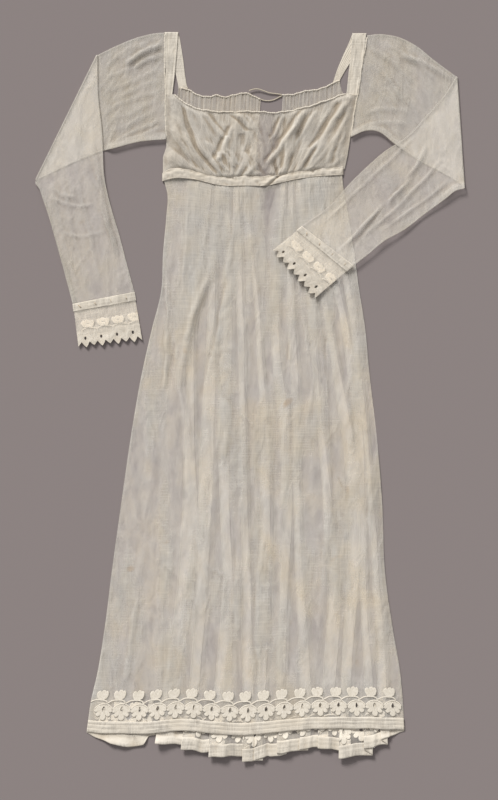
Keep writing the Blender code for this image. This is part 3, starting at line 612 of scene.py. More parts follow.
def drop_share(u, v, wide, tall):
    """How far out a place is, as a share of the way to the edge of a drop."""
    angle = np.arctan2(u / (wide / 2), v / (tall / 2))
    return np.maximum(np.hypot(u / (wide / 2) / drop_narrow(angle), v / (tall / 2)), 1e-6)


# Making pieces


def add_piece(name, mesh, finish, slot, *nodes):
    """A named piece that rides on the dress and stands for CAD nodes."""
    piece = bpy.data.objects.new(name, mesh)
    bpy.context.scene.collection.objects.link(piece)
    mesh.materials.clear()
    mesh.materials.append(MATERIALS[finish])
    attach(piece, "root")
    if nodes:
        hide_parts(*nodes)
    return piece


def cloth_piece(name, cloth, finish, slot, thick, *nodes, closed=False):
    """Makes a piece of cloth into a mesh with its own map of the weave, and gives it a thickness."""
    rows, cols = cloth.rows, cloth.cols
    index = np.arange(rows * cols).reshape(rows, cols)
    faces = np.stack([index[:-1, :-1], index[1:, :-1], index[1:, 1:], index[:-1, 1:]], axis=-1)
    faces = faces[~cloth.missing]
    mesh = bpy.data.meshes.new(name)
    mesh.from_pydata((cloth.points.reshape(-1, 3) * MM).tolist(), [], faces.tolist())
    weave = np.stack([cloth.run, np.broadcast_to(-cloth.fall[:, None], (rows, cols))], axis=-1).reshape(-1, 2)
    mesh.uv_layers.new(name="weave")
    corners = np.empty(len(mesh.loops), np.int32)
    mesh.loops.foreach_get("vertex_index", corners)
    mesh.uv_layers["weave"].data.foreach_set("uv", (weave[corners] * MM).ravel().astype(np.float32))
    # The hollow measure tells the materials where to paint shade into the cloth
    for label, values in (("gathered", cloth.gathered()), ("hollow", cloth.hollow())):
        mesh.attributes.new(label, "FLOAT", "POINT")
        mesh.attributes[label].data.foreach_set("value", values.ravel().astype(np.float32))
    shaped = bmesh.new()
    shaped.from_mesh(mesh)
    if closed:
        bmesh.ops.remove_doubles(shaped, verts=shaped.verts, dist=1e-6)
    loose = [v for v in shaped.verts if not v.link_faces]
    bmesh.ops.delete(shaped, geom=loose, context="VERTS")
    shaped.to_mesh(mesh)
    shaped.free()
    mesh.shade_smooth()
    piece = add_piece(name, mesh, finish, slot, *nodes)
    wall = piece.modifiers.new("thickness", "SOLIDIFY")
    wall.thickness = thick * MM
    wall.offset = 0.0
    return piece


def ring_mesh(name, rings, closed_ends=True):
    """A mesh through rings of points in millimetres, each ring closed."""
    count, sides = rings.shape[:2]
    index = np.arange(count * sides).reshape(count, sides)
    after = np.roll(index, -1, axis=1)
    faces = np.stack([index[:-1], after[:-1], after[1:], index[1:]], axis=-1).reshape(-1, 4).tolist()
    if closed_ends:
        faces += [index[0][::-1].tolist(), index[-1].tolist()]
    mesh = bpy.data.meshes.new(name)
    mesh.from_pydata((rings.reshape(-1, 3) * MM).tolist(), [], faces)
    shaped = bmesh.new()
    shaped.from_mesh(mesh)
    bmesh.ops.recalc_face_normals(shaped, faces=shaped.faces)
    shaped.to_mesh(mesh)
    shaped.free()
    mesh.shade_smooth()
    return mesh


# Node groups and materials


def new_node(tree, kind, inputs=None, **settings):
    """A node with its settings, and its inputs set to values or linked to sockets."""
    made = tree.nodes.new(kind)
    for key, value in settings.items():
        setattr(made, key, value)
    for key, value in (inputs or {}).items():
        socket = made.inputs[key]
        if isinstance(value, bpy.types.NodeSocket):
            tree.links.new(value, socket)
        else:
            socket.default_value = value
    return made


def math_node(tree, operation, *values):
    return new_node(tree, "ShaderNodeMath", dict(enumerate(values)), operation=operation).outputs[0]


def new_group(name, inputs, outputs, kind="ShaderNodeTree"):
    """An empty node group with named sockets, given as (name, kind, value)."""
    tree = bpy.data.node_groups.new(name, kind)
    for label, socket, value in inputs:
        made = tree.interface.new_socket(label, in_out="INPUT", socket_type="NodeSocket" + socket)
        if value is not None:
            made.default_value = value
    for label, socket in outputs:
        tree.interface.new_socket(label, in_out="OUTPUT", socket_type="NodeSocket" + socket)
    return tree, tree.nodes.new("NodeGroupInput").outputs, tree.nodes.new("NodeGroupOutput").inputs


STAIN = (0.8, 0.62, 0.42, 1)


def colour_mix(tree, share, first, second, blend="MIX"):
    """The colours of two sockets or values, mixed by a share."""
    return new_node(
        tree, "ShaderNodeMix", {0: share, 6: first, 7: second}, data_type="RGBA", blend_type=blend
    ).outputs[2]


def noise_mask(tree, vector, scale, low, high, detail=3.0, stretch=(1.0, 1.0, 1.0)):
    """Noise as a mask between 0 and 1, stretched along an axis if wanted."""
    turned = new_node(tree, "ShaderNodeMapping", {"Vector": vector, "Scale": stretch}).outputs[0]
    found = new_node(
        tree, "ShaderNodeTexNoise", {"Vector": turned, "Scale": scale, "Detail": detail, "Roughness": 0.6}
    )
    return new_node(
        tree,
        "ShaderNodeMapRange",
        {"Value": found.outputs[0], "From Min": low, "From Max": high},
        interpolation_type="SMOOTHSTEP",
    ).outputs[0]


def plain_weave_group():
    """Threads over and under, with the thick places that hand-spun cotton has."""
    tree, given, out = new_group(
        "plain weave",
        [("Weave", "Vector", None), ("Threads per metre", "Float", 1400.0), ("Slubs", "Float", 0.5)],
        [("Height", "Float"), ("Cover", "Float"), ("Streaks", "Float")],
    )
    split = new_node(tree, "ShaderNodeSeparateXYZ", {0: given["Weave"]})
    pace = math_node(tree, "MULTIPLY", given["Threads per metre"], math.pi)
    wave_u = math_node(tree, "SINE", math_node(tree, "MULTIPLY", split.outputs[0], pace))
    wave_v = math_node(tree, "SINE", math_node(tree, "MULTIPLY", split.outputs[1], pace))
    warp = math_node(tree, "ABSOLUTE", wave_u)
    weft = math_node(tree, "ABSOLUTE", wave_v)
    over = math_node(tree, "MULTIPLY", math_node(tree, "MULTIPLY", wave_u, wave_v), 0.35)
    ridge = math_node(tree, "ADD", math_node(tree, "MAXIMUM", warp, weft), over)
    warp_slub = noise_mask(tree, given["Weave"], 1.0, 0.42, 0.72, 2.0, (430.0, 24.0, 1.0))
    weft_slub = noise_mask(tree, given["Weave"], 1.0, 0.42, 0.72, 2.0, (20.0, 390.0, 1.0))
    slub = math_node(tree, "ADD", warp_slub, weft_slub)
    streaks = math_node(tree, "MULTIPLY", slub, given["Slubs"])
    tree.links.new(math_node(tree, "MULTIPLY_ADD", streaks, 0.6, ridge), out["Height"])
    thick = math_node(tree, "MULTIPLY_ADD", math_node(tree, "MAXIMUM", warp, weft), 0.5, 0.55)
    tree.links.new(math_node(tree, "MULTIPLY_ADD", streaks, 0.35, thick), out["Cover"])
    tree.links.new(streaks, out["Streaks"])
    return tree


def ageing_group():
    """The uneven cream and beige of old cotton, with a few small tan stains."""
    tree, given, out = new_group(
        "ageing",
        [("Place", "Vector", None), ("Cloth", "Color", None), ("Aged", "Color", None), ("Amount", "Float", 0.5)],
        [("Color", "Color"), ("Mottle", "Float")],
    )
    broad = noise_mask(tree, given["Place"], 7.0, 0.4, 0.68)
    blocks = noise_mask(tree, given["Place"], 34.0, 0.38, 0.66, 2.0, (1.0, 0.55, 1.0))
    mixed = math_node(tree, "MULTIPLY_ADD", blocks, 0.4, math_node(tree, "MULTIPLY", broad, 0.6))
    share = math_node(tree, "MULTIPLY", mixed, given["Amount"])
    tinted = colour_mix(tree, share, given["Cloth"], given["Aged"])
    spots = noise_mask(tree, given["Place"], 22.0, 0.72, 0.8, 1.0)
    stained = colour_mix(tree, math_node(tree, "MULTIPLY", spots, 0.5), tinted, STAIN, "MULTIPLY")
    tree.links.new(stained, out["Color"])
    tree.links.new(mixed, out["Mottle"])
    return tree


def fine_wrinkles_group():
    """Small crushed ridges, as handled muslin keeps, between about 0 and 1."""
    tree, given, out = new_group(
        "fine wrinkles", [("Place", "Vector", None), ("Scale", "Float", 42.0)], [("Height", "Float")]
    )
    ridges = []
    for turn, share in ((0.5, 0.6), (-0.9, 0.45)):
        turned = new_node(
            tree,
            "ShaderNodeMapping",
            {"Vector": given["Place"], "Rotation": (0.0, 0.0, turn), "Scale": (1.0, 0.4, 1.0)},
        )
        found = new_node(
            tree,
            "ShaderNodeTexNoise",
            {"Vector": turned.outputs[0], "Scale": given["Scale"], "Detail": 3.0, "Distortion": 0.9},
        )
        off = math_node(tree, "ABSOLUTE", math_node(tree, "SUBTRACT", found.outputs[0], 0.5))
        sharp = math_node(tree, "MAXIMUM", math_node(tree, "MULTIPLY_ADD", off, -7.0, 1.0), 0.0)
        ridges.append(math_node(tree, "MULTIPLY", sharp, share))
    tree.links.new(math_node(tree, "ADD", *ridges), out["Height"])
    return tree


GROUPS = {
    "plain weave": plain_weave_group(),
    "ageing": ageing_group(),
    "fine wrinkles": fine_wrinkles_group(),
}


def use_group(tree, name, inputs):
    made = new_node(tree, "ShaderNodeGroup", None, node_tree=GROUPS[name])
    for key, value in inputs.items():
        if isinstance(value, bpy.types.NodeSocket):
            tree.links.new(value, made.inputs[key])
        else:
            made.inputs[key].default_value = value
    return made.outputs


def start_material(name, rough, sheen):
    made = bpy.data.materials.new(name)
    made.use_nodes = True
    tree = made.node_tree
    shader = tree.nodes["Principled BSDF"]
    shader.inputs["Roughness"].default_value = rough
    shader.inputs["Specular IOR Level"].default_value = 0.25
    shader.inputs["Sheen Weight"].default_value = sheen
    shader.inputs["Sheen Roughness"].default_value = 0.5
    return made, tree, shader


PACKED_COVER = 1.7  # how much denser cloth looks where it is gathered
PACKED_SHADE = -0.75  # how much less of the lamp's light gathered cloth lets through
PAINTED_SHADE_TAN = (0.68, 0.625, 0.555, 1)  # painted shade: the warm darkening multiplied into the bottom of a crease, where less light reaches


def cloth_material(name, colour, aged, cover, wrinkles, lamp_light, painted_shade=0.6, threads=1400.0, slubs=0.9):
    """Cotton cloth whose threads let through part of what lies behind them, and of a lamp's light, with shade painted
    where it lies in a hollow.
    """
    made, tree, shader = start_material(name, 0.92, 0.12)
    weave_map = new_node(tree, "ShaderNodeUVMap", None, uv_map="weave").outputs[0]
    place = new_node(tree, "ShaderNodeTexCoord").outputs["Object"]
    weave = use_group(tree, "plain weave", {"Weave": weave_map, "Threads per metre": threads, "Slubs": slubs})
    tint = use_group(tree, "ageing", {"Place": place, "Cloth": colour, "Aged": aged, "Amount": 0.8})
    crushed = use_group(tree, "fine wrinkles", {"Place": place, "Scale": 42.0})
    # Painted shade: the colour is darkened towards a warm tan where the cloth lies in a hollow, in creases and beside
    # fold edges
    depth = new_node(tree, "ShaderNodeAttribute", None, attribute_name="hollow").outputs["Fac"]
    shaded = math_node(tree, "MULTIPLY", depth, painted_shade)
    tree.links.new(
        colour_mix(tree, shaded, tint["Color"], PAINTED_SHADE_TAN, "MULTIPLY"), shader.inputs["Base Color"]
    )
    threads_raised = new_node(
        tree, "ShaderNodeBump", {"Height": weave["Height"], "Distance": 0.00008, "Strength": 0.6}
    )
    raised = new_node(
        tree,
        "ShaderNodeBump",
        {"Height": crushed["Height"], "Distance": wrinkles, "Strength": 1.0, "Normal": threads_raised.outputs[0]},
    )
    tree.links.new(raised.outputs[0], shader.inputs["Normal"])
    if cover < 1:
        packed = new_node(tree, "ShaderNodeAttribute", None, attribute_name="gathered").outputs["Fac"]
        filled = math_node(tree, "MULTIPLY", weave["Cover"], cover)
        uneven = math_node(tree, "MULTIPLY_ADD", tint["Mottle"], 0.7, 0.7)
        creased = math_node(tree, "MULTIPLY_ADD", crushed["Height"], 0.4, uneven)
        closed_up = math_node(tree, "MULTIPLY_ADD", packed, PACKED_COVER, creased)
        limited = math_node(tree, "MINIMUM", math_node(tree, "MULTIPLY", filled, closed_up), 0.96)
        tree.links.new(limited, shader.inputs["Alpha"])
        passed = math_node(tree, "MULTIPLY_ADD", packed, PACKED_SHADE * lamp_light, lamp_light)
        clear = new_node(tree, "ShaderNodeBsdfTransparent", {"Color": math_node(tree, "MINIMUM", passed, 1.0)})
        from_lamp = new_node(tree, "ShaderNodeLightPath").outputs["Is Shadow Ray"]
        chosen = new_node(tree, "ShaderNodeMixShader", {0: from_lamp, 1: shader.outputs[0], 2: clear.outputs[0]})
        tree.links.new(chosen.outputs[0], tree.nodes["Material Output"].inputs[0])
    return made


def thread_material(name, colour, shade, scale, bump):
    """Worked or twisted cotton thread, opaque, with its strands raised."""
    made, tree, shader = start_material(name, 0.8, 0.2)
    place = new_node(tree, "ShaderNodeTexCoord").outputs["Object"]
    strands = noise_mask(tree, place, scale, 0.3, 0.7, 2.0, (1.0, 0.3, 1.0))
    tree.links.new(colour_mix(tree, strands, shade, colour), shader.inputs["Base Color"])
    raised = new_node(tree, "ShaderNodeBump", {"Height": strands, "Distance": bump, "Strength": 0.8})
    tree.links.new(raised.outputs[0], shader.inputs["Normal"])
    return made


CREAM = (0.835, 0.799, 0.738, 1)
AGED = (0.72, 0.638, 0.51, 1)
BODICE_CREAM = (0.80, 0.75, 0.67, 1)
BODICE_AGED = (0.66, 0.585, 0.48, 1)
SLEEVE_CREAM = (0.795, 0.755, 0.695, 1)
SLEEVE_AGED = (0.65, 0.59, 0.49, 1)
WHITE = (0.82, 0.76, 0.665, 1)
IVORY = (0.73, 0.65, 0.53, 1)
BAND_CREAM = (0.74, 0.68, 0.59, 1)
BAND_AGED = (0.64, 0.565, 0.455, 1)
STITCH_WHITE = (0.9, 0.835, 0.73, 1)
STITCH_SHADE = (0.72, 0.65, 0.54, 1)
TAN = (0.36, 0.25, 0.14, 1)
MATERIALS = {
    "sheer_muslin": cloth_material("sheer_muslin", CREAM, AGED, 0.2, 0.0008, 0.95, slubs=0.55),
    "back_muslin": cloth_material("back_muslin", CREAM, AGED, 0.14, 0.0006, 0.95, 0.3, slubs=0.4),
    "bodice_muslin": cloth_material(
        "bodice_muslin", BODICE_CREAM, BODICE_AGED, 0.27, 0.0007, 0.8, 1.0, slubs=0.3
    ),
    "sleeve_muslin": cloth_material(
        "sleeve_muslin", SLEEVE_CREAM, SLEEVE_AGED, 0.175, 0.0008, 0.96, 0.7, slubs=0.6
    ),
    "edging_muslin": cloth_material("edging_muslin", STITCH_WHITE, WHITE, 0.22, 0.0006, 0.9, 0.5),
    "hem_muslin": cloth_material("hem_muslin", WHITE, IVORY, 0.66, 0.0006, 0.12, 0.5, 1500.0),
    "doubled_muslin": cloth_material("doubled_muslin", BAND_CREAM, BAND_AGED, 0.8, 0.0006, 0.1, 0.8, 1500.0),
    "casing_muslin": cloth_material("casing_muslin", BAND_CREAM, BAND_AGED, 1.0, 0.0004, 0.0, 0.5, 1500.0),
    "satin_stitch": thread_material("satin_stitch", STITCH_WHITE, STITCH_SHADE, 900.0, 0.00012),
    "sewing_thread": thread_material("sewing_thread", TAN, IVORY, 1500.0, 0.00008),
    "twisted_string": thread_material("twisted_string", (0.66, 0.60, 0.49, 1), (0.5, 0.43, 0.32, 1), 1200.0, 0.0001),
}


# Repeats along a line, by Geometry Nodes


def repeat_tree():
    """Sets copies of a unit along a line, at an even spacing, with a small uneven turn and size."""
    tree = bpy.data.node_groups.new("repeat along a line", "GeometryNodeTree")
    tree.is_modifier = True
    face = tree.interface
    face.new_socket("Line", in_out="INPUT", socket_type="NodeSocketGeometry")
    for label, kind, value in (
        ("Unit", "Object", None),
        ("Spacing", "Float", 0.003),
        ("Turn", "Float", 0.1),
        ("Least size", "Float", 0.95),
        ("Most size", "Float", 1.05),
        ("Seed", "Int", 3),
        ("Finish", "Material", None),
    ):
        made = face.new_socket(label, in_out="INPUT", socket_type="NodeSocket" + kind)
        if value is not None:
            made.default_value = value
    face.new_socket("Pieces", in_out="OUTPUT", socket_type="NodeSocketGeometry")
    given = tree.nodes.new("NodeGroupInput").outputs
    line = new_node(tree, "GeometryNodeMeshToCurve", {"Mesh": given["Line"]})
    spots = new_node(
        tree, "GeometryNodeCurveToPoints", {"Curve": line.outputs[0], "Length": given["Spacing"]}, mode="LENGTH"
    )
    facing = new_node(tree, "FunctionNodeAlignRotationToVector", {"Vector": spots.outputs["Tangent"]}, axis="X")
    least = math_node(tree, "MULTIPLY", given["Turn"], -1.0)
    turn = new_node(
        tree, "FunctionNodeRandomValue", {2: least, 3: given["Turn"], "Seed": given["Seed"]}, data_type="FLOAT"
    )
    size = new_node(
        tree,
        "FunctionNodeRandomValue",
        {2: given["Least size"], 3: given["Most size"], "Seed": given["Seed"]},
        data_type="FLOAT",
    )
    angles = new_node(tree, "ShaderNodeCombineXYZ", {"Z": turn.outputs[1]})
    extra = new_node(tree, "FunctionNodeEulerToRotation", {0: angles.outputs[0]})
    turned = new_node(
        tree, "FunctionNodeRotateRotation", {0: facing.outputs[0], 1: extra.outputs[0]}, rotation_space="LOCAL"
    )
    unit = new_node(tree, "GeometryNodeObjectInfo", {"Object": given["Unit"]})
    copies = new_node(
        tree,
        "GeometryNodeInstanceOnPoints",
        {
            "Points": spots.outputs["Points"],
            "Instance": unit.outputs["Geometry"],
            "Rotation": turned.outputs[0],
            "Scale": size.outputs[1],
        },
    )
    real = new_node(tree, "GeometryNodeRealizeInstances", {0: copies.outputs[0]})
    done = new_node(
        tree, "GeometryNodeSetMaterial", {"Geometry": real.outputs[0], "Material": given["Finish"]}
    )
    tree.links.new(done.outputs[0], tree.nodes.new("NodeGroupOutput").inputs[0])
    return tree


REPEAT = repeat_tree()


def repeat_along(unit, line, finish, spacing, turn=0.0, least=1.0, most=1.0, seed=3):
    """Vertices and faces of the unit's copies along a line of (across, down, lift), in millimetres."""
    guide_mesh = bpy.data.meshes.new("guide")
    # The nodes work in the plane of the cloth, so that down is turned to -y
    spots = [(x * MM, -y * MM, z * MM) for x, y, z in line]
    guide_mesh.from_pydata(spots, [(i, i + 1) for i in range(len(spots) - 1)], [])
    guide = bpy.data.objects.new("guide", guide_mesh)
    bpy.context.scene.collection.objects.link(guide)
    bpy.context.scene.collection.objects.link(unit)
    rule = guide.modifiers.new("repeat", "NODES")
    rule.node_group = REPEAT
    values = {
        "Unit": unit,
        "Spacing": spacing * MM,
        "Turn": turn,
        "Least size": least,
        "Most size": most,
        "Seed": seed,
        "Finish": MATERIALS[finish],
    }
    for item in REPEAT.interface.items_tree:
        if item.in_out == "INPUT" and item.name in values:
            rule[item.identifier] = values[item.name]
    graph = bpy.context.evaluated_depsgraph_get()
    found = bpy.data.meshes.new_from_object(guide.evaluated_get(graph), depsgraph=graph)
    points = np.empty(len(found.vertices) * 3)
    found.vertices.foreach_get("co", points)
    faces = [list(face.vertices) for face in found.polygons]
    bpy.data.objects.remove(guide, do_unlink=True)
    bpy.context.scene.collection.objects.unlink(unit)
    return points.reshape(-1, 3) / MM, faces


class Relief:
    """Raised work that is gathered in the plane of a cloth, then laid on it as one mesh."""

    def __init__(self):
        self.points = []
        self.faces = []
        self.count = 0

    def add(self, points, faces):
        self.points.append(np.asarray(points, float))
        self.faces += [[i + self.count for i in face] for face in faces]
        self.count += len(points)

    def lay_on(self, cloth, name, finish, slot):
        flat = np.concatenate(self.points)
        placed = cloth.at(flat[:, 0], -flat[:, 1], flat[:, 2])
        mesh = bpy.data.meshes.new(name)
        mesh.from_pydata((placed * MM).tolist(), [], self.faces)
        shaped = bmesh.new()
        shaped.from_mesh(mesh)
        bmesh.ops.recalc_face_normals(shaped, faces=shaped.faces)
        shaped.to_mesh(mesh)
        shaped.free()
        mesh.shade_smooth()
        return add_piece(name, mesh, finish, slot)


def raised_line(route, wide, high):
    """A raised closed cord of thread along a route in the plane of the cloth."""
    route = np.array(route, float)
    steps = np.gradient(route, axis=0)
    steps /= np.linalg.norm(steps, axis=1, keepdims=True)
    side = np.stack([-steps[:, 1], steps[:, 0]], axis=1) * wide / 2
    parts = [
        np.column_stack([route + side * share, np.full(len(route), lift)])
        for share, lift in ((1, 0.03), (0.55, high), (-0.55, high), (-1, 0.03))
    ]
    points = np.stack(parts, axis=1).reshape(-1, 3)
    faces = []
    for i in range(len(route) - 1):
        for k in range(4):
            j = (k + 1) % 4
            faces.append([4 * i + k, 4 * i + j, 4 * i + 4 + j, 4 * i + 4 + k])
    faces.append([0, 1, 2, 3])
    faces.append([4 * len(route) - 1 - k for k in range(4)])
    return points, faces


def curve_through(spots, count):
    spots = np.array(spots, float)
    keys = np.arange(len(spots), dtype=float)
    at = np.linspace(0, len(spots) - 1, count)
    return np.stack([smooth(keys, spots[:, i], at) for i in range(spots.shape[1])], axis=1)


def eyelet_edge(wide, tall, thick, high, sides=14):
    """The overcast ring round an eyelet."""
    angles = np.linspace(0, 2 * math.pi, sides, endpoint=False)
    narrow = drop_narrow(angles)
    rings = []
    for grow, lift in ((-0.1, 0.0), (0.0, high), (thick * 0.6, high), (thick, 0.0)):
        x = (wide / 2 + grow) * np.sin(angles) * narrow
        y = (tall / 2 + grow) * np.cos(angles)
        rings.append(np.stack([x, y, np.full(sides, lift)], axis=1))
    points = np.concatenate(rings)
    faces = []
    for k in range(4):
        n = (k + 1) % 4
        for i in range(sides):
            j = (i + 1) % sides
            faces.append([k * sides + i, k * sides + j, n * sides + j, n * sides + i])
    return points, faces


def unit_object(name, shapes):
    """One worked motif as an object, in metres, for the nodes to copy."""
    points, faces, count = [], [], 0
    for shape_points, shape_faces in shapes:
        points.append(np.asarray(shape_points))
        faces += [[i + count for i in face] for face in shape_faces]
        count += len(shape_points)
    mesh = bpy.data.meshes.new(name)
    mesh.from_pydata((np.concatenate(points) * MM).tolist(), [], faces)
    return bpy.data.objects.new(name, mesh)


# Half outlines of a worked fan, measured from its eyelet, y upwards: the lobes, and the slits between them
HEM_FAN = table(
    "x y slit",
    (0, 6.6, 0),
    (4.8, 6.2, 0),
    (9.2, 4.4, 0),
    (13.2, 1.4, 0),
    (16.0, -1.4, 0),
    (16.2, -4.6, 0),
    (14.2, -7.0, 0),
    (10.4, -5.8, 1),
    (13.4, -9.4, 0),
    (12.6, -12.8, 0),
    (9.6, -14.2, 0),
    (6.6, -13.2, 0),
    (4.4, -10.4, 1),
    (5.2, -15.8, 0),
    (3.6, -19.2, 0),
    (0, -20.8, 0),
)
CUFF_FAN = table(
    "x y slit",
    (0, 6.6, 0),
    (4.8, 6.2, 0),
    (9.2, 4.4, 0),
    (12.8, 1.2, 0),
    (16.0, -1.4, 0),
    (16.0, -6.0, 0),
    (16.0, -12.0, 0),
    (13.0, -14.6, 0),
    (9.6, -9.4, 1),
    (9.8, -14.2, 0),
    (6.6, -15.0, 0),
    (4.2, -10.4, 1),
    (5.4, -17.0, 0),
    (3.4, -20.6, 0),
    (0, -22.0, 0),
)
LEAF = table(
    "x y slit",
    (-12.6, 15.6, 0),
    (-15.0, 20.4, 0),
    (-16.4, 26.8, 0),
    (-14.2, 30.6, 0),
    (-10.8, 31.4, 0),
    (-9.0, 29.4, 1),
    (-6.6, 32.4, 0),
    (-2.8, 33.0, 0),
    (-0.9, 30.6, 1),
    (1.6, 31.8, 0),
    (4.6, 29.6, 0),
    (5.4, 24.4, 0),
    (3.4, 18.4, 0),
    (-1.6, 15.4, 0),
    (-7.0, 15.8, 0),
)
LEAF_MIDDLE = (-5.2, 23.0)
# Ovals of cloth that the stitches close up: x, y, width, height, turn and how much
FILLS = table(
    "x y wide tall turn amount",
    (-9.4, -3.4, 9.0, 13.0, 0.5, 0.4),
    (9.4, -3.4, 9.0, 13.0, -0.5, 0.4),
    (0.0, 13.5, 26.0, 7.0, 0, 0.15),
)
ARCH = ((-16.1, -1.4), (-12.6, 3.4), (-6.6, 7.2), (0, 8.4), (6.6, 7.2), (12.6, 3.4), (16.1, -1.4))
STEM = (
    (-26.7, 9.6),
    (-24.6, 10.9),
    (-21.4, 12.8),
    (-17.6, 14.5),
    (-13.0, 15.2),
    (-8.0, 15.2),
    (-3.0, 15.0),
    (1.4, 14.0),
    (4.2, 12.0),
    (5.5, 9.6),
)
CORD_WIDE = 2.6
CORD_HIGH = 0.34
# How high flat stitches stand, from the inner ring to the outline, and back again under them
STITCH_RINGS = (
    (0.0, 0.1),
    (0.02, 0.1),
    (0.3, 0.1),
    (0.6, 0.1),
    (0.82, 0.22),
    (0.93, 0.22),
    (1.0, 0.02),
    (0.82, -0.06),
    (0.6, -0.08),
    (0.3, -0.08),
)
SLIT_HIGH = 0.02


def flat_stitches(outline, slit, inner):
    """Flat stitches between an inner ring and an outline, with a raised rim, and slits between the lobes."""
    sides = len(outline)
    rings = []
    for share, lift in STITCH_RINGS:
        spots = inner + (outline - inner) * share
        rings.append(np.column_stack([spots, np.where(slit > 0, min(lift, SLIT_HIGH), lift)]))
    points = np.concatenate(rings)
    faces = []
    for k in range(len(rings)):
        n = (k + 1) % len(rings)
        for i in range(sides):
            j = (i + 1) % sides
            faces.append([k * sides + i, k * sides + j, n * sides + j, n * sides + i])
    return points, faces


def flat_fan(half, scale, wide, tall):
    right = np.stack([half["x"], half["y"], half["slit"]], axis=1)
    around = np.concatenate([right, right[-2:0:-1] * (-1, 1, 1)])
    outline = around[:, :2] * scale
    angle = np.arctan2(outline[:, 0] / wide, outline[:, 1] / tall)
    hole = np.stack([np.sin(angle) * drop_narrow(angle) * wide / 2, np.cos(angle) * tall / 2], axis=1)
    return flat_stitches(outline, around[:, 2], hole)


def flat_leaf(scale, raised, spread):
    outline = np.stack([LEAF["x"] * spread, LEAF["y"] + raised], axis=1) * scale
    middle = (np.array(LEAF_MIDDLE) * (spread, 1) + (0, raised)) * scale
    return flat_stitches(outline, LEAF["slit"], middle + (outline - middle) * 0.01)


def worked_unit(fan, scale, wide, tall, raised=0.0, spread=1.0):
    """A fan round an eyelet, under an arch, with a leaf on the stem that waves above it."""
    shapes = [
        eyelet_edge(wide, tall, 1.5 * scale, CORD_HIGH),
        flat_fan(fan, scale, wide, tall),
        flat_leaf(scale, raised, spread),
    ]
    stem = np.array(STEM) + (0, raised)
    foot = (tuple(stem[-1] + (0, 1)), (4.6, 7.4))
    for line, count in ((ARCH, 15), (stem, 19), (foot, 3)):
        shapes.append(raised_line(curve_through(line, count) * scale, CORD_WIDE * scale, CORD_HIGH))
    return shapes


def fill_round(cloth, spot, level, scale):
    """Closes up the cloth under the fan and the leaf of one worked unit."""
    for x, y, wide, tall, turn, amount in zip(*FILLS.values()):
        cloth.thicken(spot + x * scale, level - y * scale, wide * scale, tall * scale, turn, amount)


# The skirt


def skirt_edge(side, down):
    return read(SKIRT_OUTLINE, "down", side, down)


PLEAT_STRAY = 2.6  # how far the edge of a fold wanders on its way down
PLEAT_WIDER = 0.2  # how much a fold opens between the waist and the hem
PLEAT_VARIES = 0.38  # how much wider or narrower than even a fold gets


def pleat_loose(down):
    return ease((down - 300) / 120) * ease((HEM_DOWN - down) / 60)


def pleat_edge(number, down):
    levels = np.array([PLEATS[key][number] for key in ("waist", "hip", "knee", "calf", "hem")])
    stray = np.sin(down / 97 + number * 2.3) + 0.25 * np.sin(down / 31 + number * 1.1)
    return smooth(PLEAT_DOWNS, levels, down) + PLEAT_STRAY * stray * pleat_loose(down)


def pleat_fold(number, down):
    share = np.clip((down - WAIST_DOWN) / (HEM_DOWN - WAIST_DOWN), 0, 1)
    wider = 1 + (PLEAT_WIDER + PLEAT_VARIES * np.sin(down / 118 + number * 1.7)) * pleat_loose(down)
    return between(PLEATS["fold_waist"][number], PLEATS["fold_hem"][number], share) * wider


def waist_bend(x, share):
    return (read(WAISTBAND, "x", "bottom", x) - WAIST_DOWN) * np.maximum(0.0, 1 - share) ** 6


def front_base(x, down):
    """The height of the front over the folds of the back."""
    first = pleat_edge(0, down)
    last = pleat_edge(PLEAT_COUNT - 1, down) + pleat_fold(PLEAT_COUNT - 1, down) + PLEAT_CREST
    edge = skirt_edge("right", down) - CLOTH
    rise = ease((x - first + 45) / 38)
    fall = ease((edge - x) / (edge - last))
    ripple = np.zeros_like(x)
    for number in range(PLEAT_COUNT):
        middle = pleat_edge(number, down) + pleat_fold(number, down) / 2
        ripple += 0.8 * np.exp(-(((x - middle) / 8.0) ** 2))
    return SECOND_LAYER + (FRONT_LAYER - SECOND_LAYER) * np.minimum(rise, fall) + np.minimum(ripple, 0.8) * fall


FRONT_COLUMNS = 214
SKIRT_CREASES_STAND = 1.5
FRONT_TUCK = 5.0  # the skirt runs on under the waistband


def front_downs(last):
    plain = np.linspace(WAIST_DOWN - FRONT_TUCK, 1170, 150)
    worked = np.arange(1173, last, 2.6)
    return np.concatenate([plain, worked, [last]])


def front_surface(downs):
    across = np.linspace(0, 1, FRONT_COLUMNS + 1)
    down = np.repeat(downs[:, None], len(across), axis=1)
    left, right = skirt_edge("left", down), skirt_edge("right", down)
    x = left + (right - left) * across[None, :]
    share = (down - WAIST_DOWN) / (HEM_DOWN - WAIST_DOWN)
    height = front_base(x, down)
    inward = np.minimum(x - left, right - x)
    free = ease(inward / 14)
    gathered = np.clip(ease((x + 92) / 20) * ease((8 - x) / 20) + ease((x - 46) / 20) * ease((165 - x) / 14), 0, 1)
    height += (0.35 + 0.9 * gathered) * fine_gathers(x + down * 0.03, 6.3, 2.0) * (1 - ease((down - 262) / 85)) * free
    height += SKIRT_CREASES_STAND * crease_height(SKIRT_CREASES, x, down, 0.85) * free
    free = free * (1 - 0.75 * ease((down - 1140) / 50))
    height += 0.8 * crumple(x, down, 30, 55, 1) * free + 0.34 * crumple(x, down, 9, 22, 2) * free
    tuck = ease((WAIST_DOWN + 6 - down) / 9)
    height = height * (1 - tuck) + (FRONT_LAYER - 1.6) * tuck
    height = np.maximum(height, SECOND_LAYER)
    bent = down + waist_bend(x, share) + read(HEM_WAVE, "x", "down", x) * np.maximum(share, 0) ** 4
    bent += 0.9 * crumple(x, down, 26, 300, 5) * np.maximum(share, 0) ** 8
    return x, bent, height


